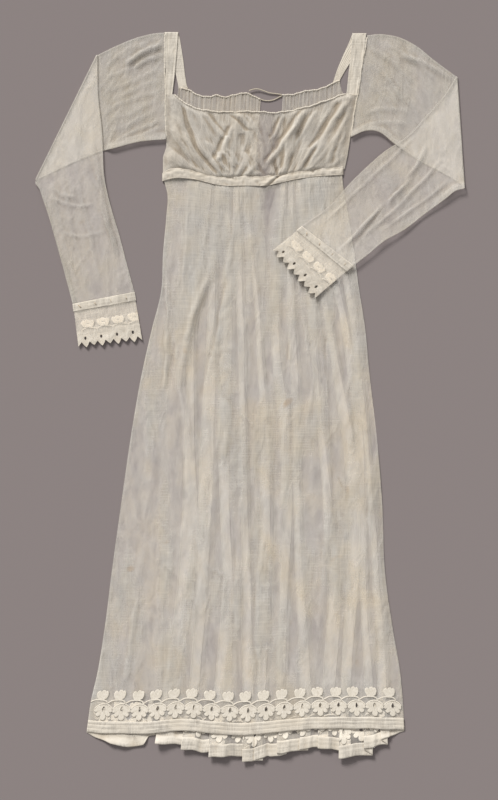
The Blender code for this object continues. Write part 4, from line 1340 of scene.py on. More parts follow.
def skirt_front():
    downs = front_downs(BAND_DOWN + 3)
    x, down, height = front_surface(downs)
    cloth = Cloth(world(x, down, height), across=x[-1], down=downs)
    inward = np.minimum(x - x[:, :1], x[:, -1:] - x)
    cloth.dense += 0.34 * (1 - ease((down - 290) / 280)) + 0.24 * crumple(x, down, 17, 190, 31)
    cloth.dense += 0.4 * crumple(x + 0.14 * down, down, 26, 120, 32) + 0.55 * np.exp(-((inward / 4.5) ** 2))
    cloth.dense += 0.2 * crumple(x, down, 60, 90, 51) * ease((down - 560) / 160)
    over_slit = np.exp(-(((x - 33) / np.maximum(16 - (down - 270) * 0.11, 5)) ** 2)) * (1 - ease((down - 300) / 90))
    cloth.dense -= 0.75 * over_slit
    spots = [EYELET_FIRST + i * EYELET_PITCH for i in range(EYELET_COUNT)]
    relief = Relief()
    line = [(spots[0], EYELET_DOWN, 0.5), (spots[-1], EYELET_DOWN, 0.5)]
    unit = unit_object("front_unit", worked_unit(HEM_FAN, 1.0, EYELET_WIDE, EYELET_TALL))
    relief.add(*repeat_along(unit, line, "satin_stitch", EYELET_PITCH - 0.001, 0.05, 0.97, 1.03, 5))
    for spot in spots:
        fill_round(cloth, spot, EYELET_DOWN, 1.0)
        cloth.punch(spot, EYELET_DOWN, EYELET_WIDE, EYELET_TALL)
    piece = cloth_piece("skirt_front_cloth", cloth, "sheer_muslin", "muslin", 0.35, "skirt_front")
    border = relief.lay_on(cloth, "front_border_work", "satin_stitch", "whitework")
    return piece, border, cloth


def band_profile(share):
    """The lines that the hem's turned layers and stitches press into the band."""
    edge = 1 - 0.75 * np.exp(-((share / 0.05) ** 2)) - 0.75 * np.exp(-(((1 - share) / 0.05) ** 2))
    lines = np.exp(-(((share - 0.3) / 0.045) ** 2)) + 0.7 * np.exp(-(((share - 0.62) / 0.04) ** 2))
    return 0.8 * edge - 0.5 * lines


def hem_band_front():
    downs = np.linspace(BAND_DOWN, HEM_DOWN, 22)
    x, down, height = front_surface(downs)
    share = (downs - BAND_DOWN) / HEM_BAND
    height = height + 0.35 + band_profile(share)[:, None] + 0.25 * crumple(x, down, 14, 5, 8)
    cloth = Cloth(world(x, down, height), across=x[-1], down=downs)
    piece = cloth_piece("hem_band_front_cloth", cloth, "hem_muslin", "muslin", 0.7, "hem_band_front")
    return piece, cloth


# The back is one cloth laid in folds, so each level is a route along the floor and over each fold
DROP_SOFTENING = 10  # how often the lower edge is evened out
HEM_LIFT = 5.6  # how high the lower edge of the back stands off the surface where it shows
BACK_STEPS = {"flat": 11, "hidden": 5, "turn": 4, "top": 5, "fall": 5, "first": 5, "slit": 1, "last": 8}


def back_keys(downs):
    """The bends along each level: kind of the stretch that follows, and x, height and drop by level."""
    left, right = skirt_edge("left", downs), skirt_edge("right", downs)
    first = pleat_edge(0, downs)
    keys = []

    def add(kind, x, height, drop):
        keys.append((kind, np.broadcast_to(x, downs.shape), height, drop))

    for i, (across, drop) in enumerate(zip(FIRST_STRIP["across"], FIRST_STRIP["drop"])):
        add("first", left + (first - left) * across, FLOOR_LAYER, drop)
    last_drop = FIRST_STRIP["drop"][-1]
    for number in range(PLEAT_COUNT):
        edge = pleat_edge(number, downs)
        width = pleat_fold(number, downs)
        fold = edge + width
        drop_left, drop_right = PLEATS["drop_left"][number], PLEATS["drop_right"][number]
        add("turn", fold, FLOOR_LAYER, last_drop)
        add("hidden", fold, SECOND_LAYER, last_drop)
        add("turn", edge, SECOND_LAYER, drop_left)
        add("top", edge, THIRD_LAYER, drop_left)
        add("fall", fold + PLEAT_CREST, THIRD_LAYER, (drop_left + drop_right) / 2)
        add("flat", fold + PLEAT_CREST + 3 + 0.3 * width, FLOOR_LAYER, (drop_left + 2 * drop_right) / 3)
        if number == SLIT_AFTER:
            add("slit", read(BACK_SLIT, "down", "left", downs), FLOOR_LAYER, (drop_left + drop_right) / 2)
            add("flat", read(BACK_SLIT, "down", "right", downs), FLOOR_LAYER, (drop_left + drop_right) / 2)
        last_drop = drop_right
    add("end", right, FLOOR_LAYER, last_drop)
    return keys


def back_surface(downs):
    """x, height and drop of every point of the back, and the column of the slit."""
    keys = back_keys(downs)
    xs, heights, drops, slit = [], [], [], None
    for (kind, x0, z0, d0), (_, x1, z1, d1) in zip(keys, keys[1:]):
        if kind == "slit":
            slit = len(xs)
        steps = BACK_STEPS.get(kind, 1)
        for i in range(steps):
            t = i / steps
            if kind == "turn":
                side = 1 if z0 == FLOOR_LAYER else -1
                xs.append(x0 + side * PITCH / 2 * math.sin(math.pi * t))
                heights.append(np.full(downs.shape, (z0 + z1) / 2 - (z1 - z0) / 2 * math.cos(math.pi * t)))
            else:
                lean = float(ease(t)) if kind == "fall" else t
                xs.append(x0 + (x1 - x0) * t)
                heights.append(np.full(downs.shape, z0 + (z1 - z0) * lean))
            drops.append(np.full(downs.shape, d0 + (d1 - d0) * t))
    kind, x0, z0, d0 = keys[-1]
    xs.append(np.array(x0))
    heights.append(np.full(downs.shape, z0))
    drops.append(np.full(downs.shape, d0))
    x, height, drop = (np.stack(values, axis=1) for values in (xs, heights, drops))
    drop = soften(drop, 1, DROP_SOFTENING)
    down = np.repeat(downs[:, None], x.shape[1], axis=1)
    share = (down - WAIST_DOWN) / (HEM_DOWN - WAIST_DOWN)
    bent = down + waist_bend(x, share) + drop * np.maximum(share, 0) ** 1.5
    bent += 2.4 * crumple(x, down, 24, 300, 41) * np.maximum(share, 0) ** 12
    low = height < FLOOR_LAYER + 0.2
    height = height + low * 0.3 * np.clip(crumple(x, down, 16, 40, 3) + 0.3, 0, 1)
    past_front = ease((bent - HEM_DOWN - read(HEM_WAVE, "x", "down", x) - 3) / 16)
    height = height + HEM_LIFT * past_front * (0.75 + 0.5 * crumple(x, down, 22, 60, 43))
    return x, bent, height, slit


def skirt_back():
    plain = np.linspace(WAIST_DOWN - FRONT_TUCK, 1160, 78)
    worked = np.arange(1164, BAND_DOWN + 3, 3.4)
    downs = np.concatenate([plain, worked, [BAND_DOWN + 3]])
    x, down, height, slit = back_surface(downs)
    cloth = Cloth(world(x, down, height), down=downs)
    cloth.missing[:, slit] = downs[:-1] < SLIT_ENDS
    relief = Relief()
    unit = unit_object("back_unit", worked_unit(HEM_FAN, 1.0, EYELET_WIDE, EYELET_TALL))
    inset = 24.0
    first, last = cloth.across[0] + inset, cloth.across[-1] - inset
    count = int((last - first) / EYELET_PITCH)
    line = [(first, EYELET_DOWN, 0.4), (first + count * EYELET_PITCH, EYELET_DOWN, 0.4)]
    relief.add(*repeat_along(unit, line, "satin_stitch", EYELET_PITCH - 0.001, 0.05, 0.97, 1.03, 9))
    cloth.dense += 0.14 * crumple(x, down, 18, 130, 33)
    for i in range(count + 1):
        fill_round(cloth, first + i * EYELET_PITCH, EYELET_DOWN, 1.0)
        cloth.punch(first + i * EYELET_PITCH, EYELET_DOWN, EYELET_WIDE, EYELET_TALL)
    piece = cloth_piece("skirt_back_cloth", cloth, "back_muslin", "muslin", 0.35, "skirt_back")
    border = relief.lay_on(cloth, "back_border_work", "satin_stitch", "whitework")
    return piece, border, cloth


def hem_band_back():
    downs = np.linspace(BAND_DOWN, HEM_DOWN, 12)
    x, down, height, _ = back_surface(downs)
    share = (downs - BAND_DOWN) / HEM_BAND
    lines = 0.45 * np.exp(-(((share - 0.3) / 0.07) ** 2)) + 0.3 * np.exp(-(((share - 0.65) / 0.06) ** 2))
    top = height > THIRD_LAYER - 0.2
    height = height + (0.35 - lines[:, None]) * np.where(top, 1.0, 0.4)
    cloth = Cloth(world(x, down, np.maximum(height, 0.35)), down=downs)
    piece = cloth_piece("hem_band_back_cloth", cloth, "hem_muslin", "muslin", 0.6, "hem_band_back")
    return piece, cloth


# The waistband


def waistband():
    left, right = WAISTBAND["x"][0] + 1, WAISTBAND["x"][-1] - 1
    low, top = 0.7, FRONT_LAYER + 0.35
    slit_left, slit_right = BACK_SLIT["left"][0], BACK_SLIT["right"][0]
    back_left = np.linspace(slit_left, left + 2, 40)
    back_right = np.linspace(right - 2, slit_right, 32)
    front = np.linspace(left + 3, right - 3, 190)
    inward = np.minimum(front - left, right - front)
    front_high = top - 1.2 * (1 - ease(inward / 20))
    x = np.concatenate([back_left, [left + 0.4, left, left + 0.6], front, [right - 0.6, right, right - 0.4], back_right])
    side_high = front_high[0]
    rise = [low + 0.5, (low + side_high) / 2, side_high - 0.5]
    height = np.concatenate([np.full(40, low), rise, front_high, rise[::-1], np.full(32, low)])
    shares = np.linspace(0, 1, 15)
    upper, lower = read(WAISTBAND, "x", "top", x), read(WAISTBAND, "x", "bottom", x)
    lip = 1.1 * np.sin(x / 7.3) + 0.9 * np.sin(x / 3.1 + 1) + 0.9 * np.sin(x / 17.0)
    down = upper + (lower - upper)[None, :] * shares[:, None] + lip[None, :] * (1 - shares)[:, None] * 0.6
    across = np.repeat(x[None, :], len(shares), axis=0)
    is_front = (height > (low + top) / 2)[None, :]
    body = 0.5 * np.sin(math.pi * shares)[:, None] + 0.5 * crumple(across, down, 12, 5, 4)
    body = body + 0.45 * crumple(across, down, 3.2, 7, 24)
    groove = -0.4 * np.exp(-(((shares - 0.84) / 0.06) ** 2))[:, None]
    groove = groove - 0.4 * np.exp(-(((shares - 0.14) / 0.06) ** 2))[:, None]
    twist_middle = 46 - 22 * shares[:, None]
    twist = 1.6 * np.exp(-(((across - twist_middle) / 5.0) ** 2))
    twist = twist - 1.9 * np.exp(-(((across - twist_middle - 8) / 4.5) ** 2))
    lifted = height[None, :] + is_front * (body + groove + twist)
    cloth = Cloth(world(across, down, lifted))
    return cloth_piece("waistband_cloth", cloth, "doubled_muslin", "band", 0.7, "waistband"), cloth


# The bodice


def armhole_x(seam, down):
    share = (down - seam[1]) / (seam[3] - seam[1])
    return seam[0] + (seam[2] - seam[0]) * share


def bodice_side(side, down):
    seam = ARMHOLE_LEFT if side == "left" else ARMHOLE_RIGHT
    inward = 0.3 if side == "left" else -0.3
    foot = armhole_x(seam, seam[3]) + inward
    downs = np.concatenate([[seam[3]], BODICE_SIDES["down"]])
    values = np.concatenate([[foot], BODICE_SIDES[side]])
    return np.where(down <= seam[3], armhole_x(seam, down) + inward, np.interp(down, downs, values))


def bodice_front():
    across = np.linspace(0, 1, 261)[None, :]
    share = np.linspace(0, 1, 66)[:, None]
    neck_left, neck_right = bodice_side("left", 109.0), bodice_side("right", 109.0)
    top = read(FRONT_NECK, "x", "down", between(neck_left, neck_right, across)) + CASING_RADIUS
    waist_left, waist_right = BODICE_SIDES["left"][-1], BODICE_SIDES["right"][-1]
    foot = read(WAISTBAND, "x", "top", between(waist_left, waist_right, across)) + 5
    down = top + (foot - top) * share
    left, right = bodice_side("left", down), bodice_side("right", down)
    x = left + (right - left) * across
    inward = ease(np.minimum(x - left, right - x) / 16)
    base = SECOND_LAYER + 0.3 + (FRONT_LAYER - SECOND_LAYER - 0.3) * inward * ease(share * 1.3)
    creases = crease_height(BODICE_CREASES, x, down, 2.0)
    neck_gathers = 0.9 * fine_gathers(x + (down - top) * 0.25, 5.2, 4.0) * (1 - ease((down - top) / 34))
    right_share = ease((x + 30) / 80)
    spread = 1 + 0.5 * ease((down - top) / 120)
    slanted = x + (1 - 2 * right_share) * (foot - down) * 0.5
    waist_gathers = 1.0 * fine_gathers((slanted - 10) * spread, 6.4, 1.0) * (1 - ease((foot - down) / 64))
    left_fan = radiating(x, down, -35, 290, 17, 6) + 0.22 * radiating(x, down, -35, 290, 5, 16)
    right_fan = radiating(x, down, 58, 295, 17, 9) + 0.22 * radiating(x, down, 58, 295, 5, 19)
    drape = 2.6 * (left_fan * (1 - right_share) + right_fan * right_share) + 0.15 * crumple(x, down, 6, 14, 7)
    lines = between(radiating(x, down, -35, 290, 7, 26), radiating(x, down, 58, 295, 7, 29), right_share)
    edge = between(0.15, 1.0, ease((down - top) / 9))
    tuck = ease((down - foot + 10) / 7)
    height = base + (creases * 1.7 + neck_gathers + waist_gathers + drape + 1.6) * inward * edge
    height = np.maximum(height, SECOND_LAYER - 0.1)
    height = height * (1 - tuck) + np.minimum(height, FRONT_LAYER - 1.2) * tuck
    cloth = Cloth(world(x, down, height), packing=1.0)
    middle = np.exp(-(((x - 26) / (10 + (foot - down) * 0.2)) ** 2))
    cloth.dense += 0.3 - 0.8 * middle + 0.24 * crumple(x, down, 14, 30, 35)
    cloth.dense += 0.45 * np.clip(1 - np.abs(lines) * 7, 0, 1)
    cloth.dense += 0.4 * np.exp(-((np.minimum(x - left, right - x) / 3.5) ** 2))
    return cloth_piece("bodice_front_cloth", cloth, "bodice_muslin", "muslin", 0.35, "bodice_front"), cloth


def bodice_back(side, neck, inner_top, inner_foot):
    across = np.linspace(0, 1, 131)[None, :]
    share = np.linspace(0, 1, 44)[:, None]
    underarm = float(bodice_side("left", np.array(190.0)))
    outer_top = neck["x"][0] if side == "left" else neck["x"][-1]
    outer_foot = underarm if side == "left" else BODICE_SIDES["right"][-1]
    inner = inner_top + (inner_foot - inner_top) * share
    top_x = between(*sorted((outer_top, inner_top)), across)
    foot_x = between(*sorted((outer_foot, inner_foot)), across)
    top = read(neck, "x", "down", top_x) + CASING_RADIUS
    foot = read(WAISTBAND, "x", "top", foot_x) + 5
    down = top + (foot - top) * share
    outer = np.maximum(outer_top + (bodice_side(side, down) - outer_top) * ease(share * 2), underarm)
    left, right = (outer, inner + 0 * outer) if side == "left" else (inner + 0 * outer, outer)
    x = left + (right - left) * across
    waves = 1.3 * fine_gathers(x + (down - top) * 0.06, 6.4, 5.0) * (1 - 0.75 * ease((down - top) / 60))
    waves += 0.5 * (crumple(x, down, 7, 60, 11) + 0.5)
    away = ease((foot - down) / 8)
    height = FLOOR_LAYER + np.clip(waves, 0, 1.4) * between(0.4, 1.0, away)
    hem = np.exp(-(((x - inner) / 2.2) ** 2)) * 0.5
    cloth = Cloth(world(x, down, height + hem))
    name = f"bodice_back_{side}"
    return cloth_piece(name + "_cloth", cloth, "bodice_muslin", "muslin", 0.35, name), cloth


def roll_rings(middle, radius, widen, sides=10):
    """Rings of a tube along a line on the cloth, wider than it is high."""
    angles = np.linspace(0, 2 * math.pi, sides, endpoint=False)
    steps = np.gradient(middle, axis=0)
    steps /= np.linalg.norm(steps, axis=1, keepdims=True)
    side = np.cross(steps, [0, 0, 1.0])
    offsets = side[:, None, :] * np.cos(angles)[None, :, None] * widen
    offsets = offsets + np.array([0, 0, 1.0])[None, None, :] * np.sin(angles)[None, :, None]
    rings = middle[:, None, :] + offsets * radius[:, None, None]
    rings[..., 2] = np.maximum(rings[..., 2], 0.05)
    return rings


def casing(name, neck, first, last, height):
    """A drawn casing: a tube of cloth that the string puckers along the neck edge."""
    x = np.linspace(first, last, int(abs(last - first) * 1.6))
    down = read(neck, "x", "down", x) + CASING_RADIUS + 0.6 * np.sin(x / 5.3) + 0.35 * np.sin(x / 2.3)
    pucker = 0.26 * np.sin(2 * math.pi * x / 3.9 + 0.8 * np.sin(x / 7)) + 0.14 * np.sin(x / 1.3 + 1)
    rings = roll_rings(world(x, down, height), CASING_RADIUS - 0.15 + pucker, 1.05)
    return add_piece(name + "_roll", ring_mesh(name, rings), "casing_muslin", "band", name)


SEAM_RADIUS = 0.8
SEAM_HIGH = 2.3


def armhole_seam(side, seam):
    """The narrow ridge of turned cloth where a sleeve is sewn to the strap and the bodice."""
    down = np.linspace(seam[1] + 3, seam[3] - 2, 170)
    x = armhole_x(seam, down) + 0.6 * np.sin(down / 13) + 0.3 * np.sin(down / 4.1)
    radius = SEAM_RADIUS + 0.14 * np.sin(down / 1.9) + 0.1 * np.sin(down / 0.83)
    rings = roll_rings(world(x, down, SEAM_HIGH), radius, 1.5)
    return add_piece(f"armhole_seam_{side}", ring_mesh("seam", rings), "casing_muslin", "band")


def strap(side, back_rows, front_rows, top_down, gathers):
    """One strip: up the back, over the shoulder fold, and down the front."""
    across = np.linspace(0, 1, 29)

    def rows_of(source, count):
        at = np.linspace(source["down"][0], source["down"][-1], count)
        return at, np.interp(at, source["down"], source["left"]), np.interp(at, source["down"], source["right"])

    back_at, back_left, back_right = rows_of(back_rows, 36)
    front_at, front_left, front_right = rows_of(front_rows, 40)
    low, high = FLOOR_LAYER + 0.1, SECOND_LAYER + 0.25
    turn_at = np.array([top_down + 0.6, top_down, top_down + 0.5])
    turn_high = np.array([low + 0.3, (low + high) / 2, high - 0.3])
    down = np.concatenate([back_at[::-1], turn_at, front_at])
    left = np.concatenate([back_left[::-1], np.full(3, front_left[0]), front_left])
    right = np.concatenate([back_right[::-1], np.full(3, front_right[0]), front_right])
    height = np.concatenate([np.full(36, low), turn_high, np.full(40, high)])
    x = left[:, None] + (right - left)[:, None] * across[None, :]
    grid_down = np.repeat(down[:, None], len(across), axis=1)
    on_front = (np.arange(len(down)) > 38)[:, None]
    rolled = 0.35 * (np.exp(-((across / 0.12) ** 2)) + np.exp(-(((1 - across) / 0.12) ** 2)))[None, :]
    grooves = -0.3 * (np.exp(-(((across - 0.22) / 0.05) ** 2)) + np.exp(-(((across - 0.8) / 0.05) ** 2)))[None, :]
    waves = 0.3 * crumple(x, grid_down, 8, 10, 12) + 0.2 * crumple(x, grid_down, 3, 22, 27)
    folds = gathers * fine_gathers(across[None, :] * 18 + grid_down * 0.05, 3.1, 4.0)
    lifted = height[:, None] + np.where(on_front, rolled + grooves + waves, waves * 0.3 + folds)
    points = world(x, grid_down, np.maximum(lifted, 0.35))[:, ::-1]
    cloth = Cloth(points)
    return cloth_piece(f"strap_{side}_cloth", cloth, "hem_muslin", "band", 0.6, f"strap_{side}"), cloth


# The sleeves

SLEEVE_ACROSS = 52
TURN_POINTS = 4


def sleeve_rows(source, count):
    keys = np.arange(len(source["a_x"]), dtype=float)
    at = np.linspace(0, len(keys) - 1, count)
    return {name: smooth(keys, source[name], at) for name in ACROSS.split()}


def tube_row(a, b, outer_high, inner_high, outer_shift=0.0, inner_shift=0.0):
    """One row round a flattened sleeve: the outer wall from a to b, and the inner wall back."""
    shares = np.linspace(0, 1, SLEEVE_ACROSS)
    step = (b - a) / np.linalg.norm(b - a)
    middle, radius = (outer_high + inner_high) / 2, (outer_high - inner_high) / 2
    turn = np.linspace(0, math.pi, TURN_POINTS + 2)[1:-1]

    def line(first, last, shift):
        return first + (last - first) * shares[:, None] + shift

    outer, inner = line(a, b, outer_shift), line(b, a, inner_shift)
    at_b = b + (outer_shift + inner_shift) / 2 + step * abs(radius) * np.sin(turn)[:, None]
    at_a = a + (outer_shift + inner_shift) / 2 - step * abs(radius) * np.sin(turn)[:, None]
    flat = np.concatenate([outer, at_b, inner, at_a, outer[:1]])
    high = np.concatenate(
        [
            np.full(SLEEVE_ACROSS, outer_high),
            middle + radius * np.cos(turn),
            np.full(SLEEVE_ACROSS, inner_high),
            middle - radius * np.cos(turn),
            [outer_high],
        ]
    )
    return flat, high


SIDE_SEAM_STARTS = 400.0  # how far down the doubled seam of the left sleeve starts to show
EDGE_LIFT = 4.4  # how high the lower edge of a sleeve stands off the surface
CREASES_STAND = 1.7  # how much the sleeve creases are raised


def sleeve(side, upper, forearm, outward, upper_creases, lower_creases, flip):
    """A flattened tube that is folded up and back over itself at the elbow."""
    outward = np.array((outward[0], -outward[1]))
    rows = []
    top = sleeve_rows(upper, 72)
    for i in range(72):
        a, b = np.array((top["a_x"][i], top["a_down"][i])), np.array((top["b_x"][i], top["b_down"][i]))
        rows.append((*tube_row(a, b, FLOOR_LAYER, SECOND_LAYER), "upper"))
    elbow = np.array((upper["a_x"][-1], upper["a_down"][-1])), np.array((upper["b_x"][-1], upper["b_down"][-1]))
    middle = (FLOOR_LAYER + FRONT_LAYER) / 2
    for angle in np.linspace(-math.pi / 2, math.pi / 2, 8)[1:-1]:
        out, inn = (FRONT_LAYER - FLOOR_LAYER) / 2, PITCH / 2
        rows.append(
            (
                *tube_row(
                    *elbow,
                    middle + out * math.sin(angle),
                    middle + inn * math.sin(angle),
                    outward * out * math.cos(angle),
                    outward * inn * math.cos(angle),
                ),
                "turn",
            )
        )
    low = sleeve_rows(forearm, 140)
    for i in range(140):
        a, b = np.array((low["a_x"][i], low["a_down"][i])), np.array((low["b_x"][i], low["b_down"][i]))
        base = max(low["lift"][i], 0.0) + FLOOR_LAYER
        rows.append((*tube_row(a, b, base + PITCH, base), "forearm"))
    flat = np.stack([row[0] for row in rows])
    height = np.stack([row[1] for row in rows])
    part = np.array([row[2] for row in rows])
    x, down = flat[..., 0], flat[..., 1]
    column = np.arange(flat.shape[1])
    outer_share = np.clip(column / (SLEEVE_ACROSS - 1), 0, 1)
    inner_share = np.clip((column - SLEEVE_ACROSS - TURN_POINTS) / (SLEEVE_ACROSS - 1), 0, 1)
    on_outer = column < SLEEVE_ACROSS
    on_inner = (column >= SLEEVE_ACROSS + TURN_POINTS) & (column < 2 * SLEEVE_ACROSS + TURN_POINTS)
    inside = np.where(on_outer, outer_share, np.where(on_inner, inner_share, 0.0))
    soft = ease(np.minimum(inside, 1 - inside) / 0.08)[None, :]
    upper_top = (part == "upper")[:, None] * on_inner[None, :]
    lower_top = (part == "forearm")[:, None] * on_outer[None, :]
    lean = 0.7 if flip else -0.6
    small = 0.45 * (crumple(x, down, 14, 34, 13 if flip else 14) + 0.5) + 0.12 * crumple(x, down, 5, 9, 15)
    small = small + 0.4 * crumple(x + lean * down, down - lean * x, 5.5, 34, 17)
    from_elbow = sum(np.hypot(x - end[0], down - end[1]) for end in elbow) - np.hypot(*(elbow[0] - elbow[1]))
    clear = ease((from_elbow - 6) / 40)
    upper_height = CREASES_STAND * crease_height(upper_creases, x, down, 1.2)
    height = height + upper_top * soft * (upper_height + small)
    lower = np.maximum(CREASES_STAND * crease_height(lower_creases, x, down, 1.2), -0.8) + small * 0.8
    height = height + lower_top * soft * clear * lower
    width = np.hypot(x[:, 0] - x[:, SLEEVE_ACROSS - 1], down[:, 0] - down[:, SLEEVE_ACROSS - 1])[:, None]
    from_side = np.minimum(inside, 1 - inside)[None, :] * width
    far = np.where(on_outer, 1 - outer_share, np.where(on_inner, inner_share, column > 2 * SLEEVE_ACROSS))
    far = far[None, :] * width
    row_share = np.arange(len(part))[:, None] / np.sum(part == "upper")
    lifted = (part == "upper")[:, None] * ease((0.62 - row_share) / 0.12)
    if not flip:
        lifted = lifted + (part == "forearm")[:, None] * ease((2.2 - row_share) / 0.6)
    height = height + EDGE_LIFT * lifted * ease((16 - far) / 16)
    points = world(x, down, np.maximum(height, 0.3))
    dense = 0.5 * np.exp(-((from_side / 2.2) ** 2)) + 0.12 * crumple(x, down, 26, 44, 37)
    dense = dense + np.where(part == "forearm", -0.06, 0.14)[:, None]
    if flip:
        dense = dense + 0.7 * ease((down - SIDE_SEAM_STARTS) / 16) * ease((8 - far) / 2.5)
        points, dense = points[:, ::-1], dense[:, ::-1]
    cloth = Cloth(points)
    cloth.dense += dense
    name = f"sleeve_{side}"
    return cloth_piece(name + "_cloth", cloth, "sleeve_muslin", "muslin", 0.35, name, closed=True), cloth


def cuff_row(last, tip, share):
    return last + (tip - last) * share


def share_of(values, share):
    return values[0] + (values[-1] - values[0]) * share


def scallop_notch(share):
    """How far the scalloped edge lies back from the tips: a long point under each eyelet, a short one between."""
    wave = np.abs(np.cos(math.pi * SCALLOPS * share))
    point = 0.3 * wave + 0.7 * (1 - np.arccos(wave) * 2 / math.pi)
    return SCALLOP_DEPTH * (1 - point) + SHORT_POINT * np.cos(math.pi * SCALLOPS / 2 * share) ** 2


CUFF_LEAF_SPREAD = 1.3
CUFF_STEM_UP = 4.6  # how much higher the stem and the leaves stand on a cuff than on the hem
CUFF_LIFT = 2.4  # how high the points of a cuff stand off what they lie on


def cuff(side, forearm, tip, flip):
    """The band at the end of a sleeve, and the two walls of its worked, scalloped edging."""
    last = np.array([forearm[name][-1] for name in ACROSS.split()])
    tip = np.array(tip, float)
    made = {}
    rows = []
    shares = np.linspace(-0.01, CUFF_BAND_SHARE, 12)
    for share in shares:
        row = cuff_row(last, tip, share)
        base = row[4] + FLOOR_LAYER
        swell = 0.3 * math.sin(math.pi * (share / CUFF_BAND_SHARE)) - 0.3 * math.exp(-(((share - 0.13) / 0.012) ** 2))
        rows.append(tube_row(row[:2], row[2:4], base + PITCH + 0.3 + swell, base - 0.1))
    flat, high = np.stack([row[0] for row in rows]), np.stack([row[1] for row in rows])
    high = high + 0.2 * crumple(flat[..., 0], flat[..., 1], 9, 4, 21) * (high > last[4] + SECOND_LAYER - 0.3)
    points = world(flat[..., 0], flat[..., 1], np.maximum(high, 0.35))
    band = Cloth(points[:, ::-1] if flip else points)
    name = f"cuff_band_{side}"
    made["band"] = cloth_piece(name + "_cloth", band, "hem_muslin", "band", 0.5, name, closed=True)
    top_walls = band.across[:SLEEVE_ACROSS] if not flip else band.across[::-1][:SLEEVE_ACROSS]
    ticks = Relief()
    tick = unit_object(f"tick_{side}", [raised_line(((-1.4, 3.4), (0.2, 0.4), (1.8, -3.0)), 2.2, 0.6)])
    line = [(share_of(top_walls, t), band.down[-1] * 0.5, 0.1) for t in (0.14, 0.9)]
    line.sort()
    ticks.add(*repeat_along(tick, line, "sewing_thread", abs(line[1][0] - line[0][0]) / 3 - 0.001, 0.4, 0.7, 1.1, 7))
    made["ticks"] = ticks.lay_on(band, f"cuff_stitches_{side}", "sewing_thread", "band")
    start = CUFF_BAND_SHARE - 0.02
    length = np.hypot(*(tip[:2] - last[:2]))
    for layer, base in (("under", FLOOR_LAYER), ("top", SECOND_LAYER + 0.1)):
        share = np.linspace(0, 1, 113)[None, :]
        along = np.linspace(0, 1, 52)[:, None]
        row = [between(last[i], tip[i], start + (1 - start) * along) for i in range(4)]
        notch = scallop_notch(share) * along**3 / length
        x = row[0] + (row[2] - row[0]) * share - (tip[0] - last[0]) * notch
        down = row[1] + (row[3] - row[1]) * share - (tip[1] - last[1]) * notch
        edge = ease(np.minimum(share, 1 - share) / 0.06)
        height = last[4] + base + (0.35 * crumple(x, down, 12, 12, 22) + 0.25) * edge * (layer == "top")
        height = height + CUFF_LIFT * along**2 * (1 + 0.3 * crumple(x, down, 14, 14, 45))
        points = world(x, down, height)
        if not flip:
            points = points[:, ::-1]
        cloth = Cloth(points)
        cloth.across = cloth.run[0]
        width, long = cloth.across[-1] - cloth.across[0], cloth.down[-1]
        pitch = width / CUFF_EYELETS
        spots = cloth.across[0] + pitch * (np.arange(CUFF_EYELETS) + 0.5)
        level = long * CUFF_EYELET_AT
        line = [(spots[0], level, 0.45), (spots[-1], level, 0.45)]
        sizes = (pitch / EYELET_PITCH, CUFF_EYELET_WIDE, CUFF_EYELET_TALL)
        worked = worked_unit(CUFF_FAN, *sizes, CUFF_STEM_UP, CUFF_LEAF_SPREAD)
        relief = Relief()
        unit = unit_object(f"cuff_unit_{side}_{layer}", worked)
        relief.add(*repeat_along(unit, line, "satin_stitch", pitch - 0.001, 0.06, 0.97, 1.03, 11))
        hem = [(cloth.across[0] + width * t, -(long - 1.0)) for t in np.linspace(0.004, 0.996, 129)]
        relief.add(*raised_line(hem, 2.0, 0.6))
        cloth.dense += 0.5 * ease((cloth.down[:, None] - level + 14) / 6)
        for spot in spots:
            fill_round(cloth, spot, level, pitch / EYELET_PITCH)
            cloth.punch(spot, level, CUFF_EYELET_WIDE, CUFF_EYELET_TALL)
        name = f"cuff_edging_{side}_{layer}"
        made[layer] = cloth_piece(name + "_cloth", cloth, "edging_muslin", "whitework", 0.35, name)
        made[layer + "_work"] = relief.lay_on(cloth, f"cuff_work_{side}_{layer}", "satin_stitch", "whitework")
    return made


# The drawstring


def strand(name, route, count):
    """A string of two twisted strands along a smooth route."""
    spots = curve_through(np.stack([route["x"], route["down"], route["height"]], axis=1), count)
    middle = world(spots[:, 0], spots[:, 1], spots[:, 2])
    steps = np.gradient(middle, axis=0)
    steps /= np.linalg.norm(steps, axis=1, keepdims=True)
    side = np.cross(steps, [0, 0, 1.0])
    side /= np.linalg.norm(side, axis=1, keepdims=True)
    up = np.cross(side, steps)
    sides = 14
    angles = np.linspace(0, 2 * math.pi, sides, endpoint=False)[None, :]
    run = np.concatenate([[0], np.cumsum(np.linalg.norm(np.diff(middle, axis=0), axis=1))])[:, None]
    radius = STRING_RADIUS * (0.93 + 0.14 * np.abs(np.cos(angles - run * 1.5)) ** 0.7)
    rings = middle[:, None, :] + side[:, None, :] * (np.cos(angles) * radius)[..., None]
    rings = rings + up[:, None, :] * (np.sin(angles) * radius)[..., None]
    piece = add_piece(name + "_twist", ring_mesh(name, rings), "twisted_string", "string", name)
    return piece


# Camera, light and floor


def look_at(thing, target):
    aim = Vector(target) - thing.location
    thing.rotation_euler = aim.to_track_quat("-Z", "Y").to_euler()


def camera():
    data = bpy.data.cameras.new("camera")
    data.lens = 90.0
    data.sensor_fit = "VERTICAL"
    data.sensor_height = 36.0
    made = bpy.data.objects.new("camera", data)
    made.location = (-0.0018, -0.0064, 3.54)
    bpy.context.scene.collection.objects.link(made)
    bpy.context.scene.camera = made


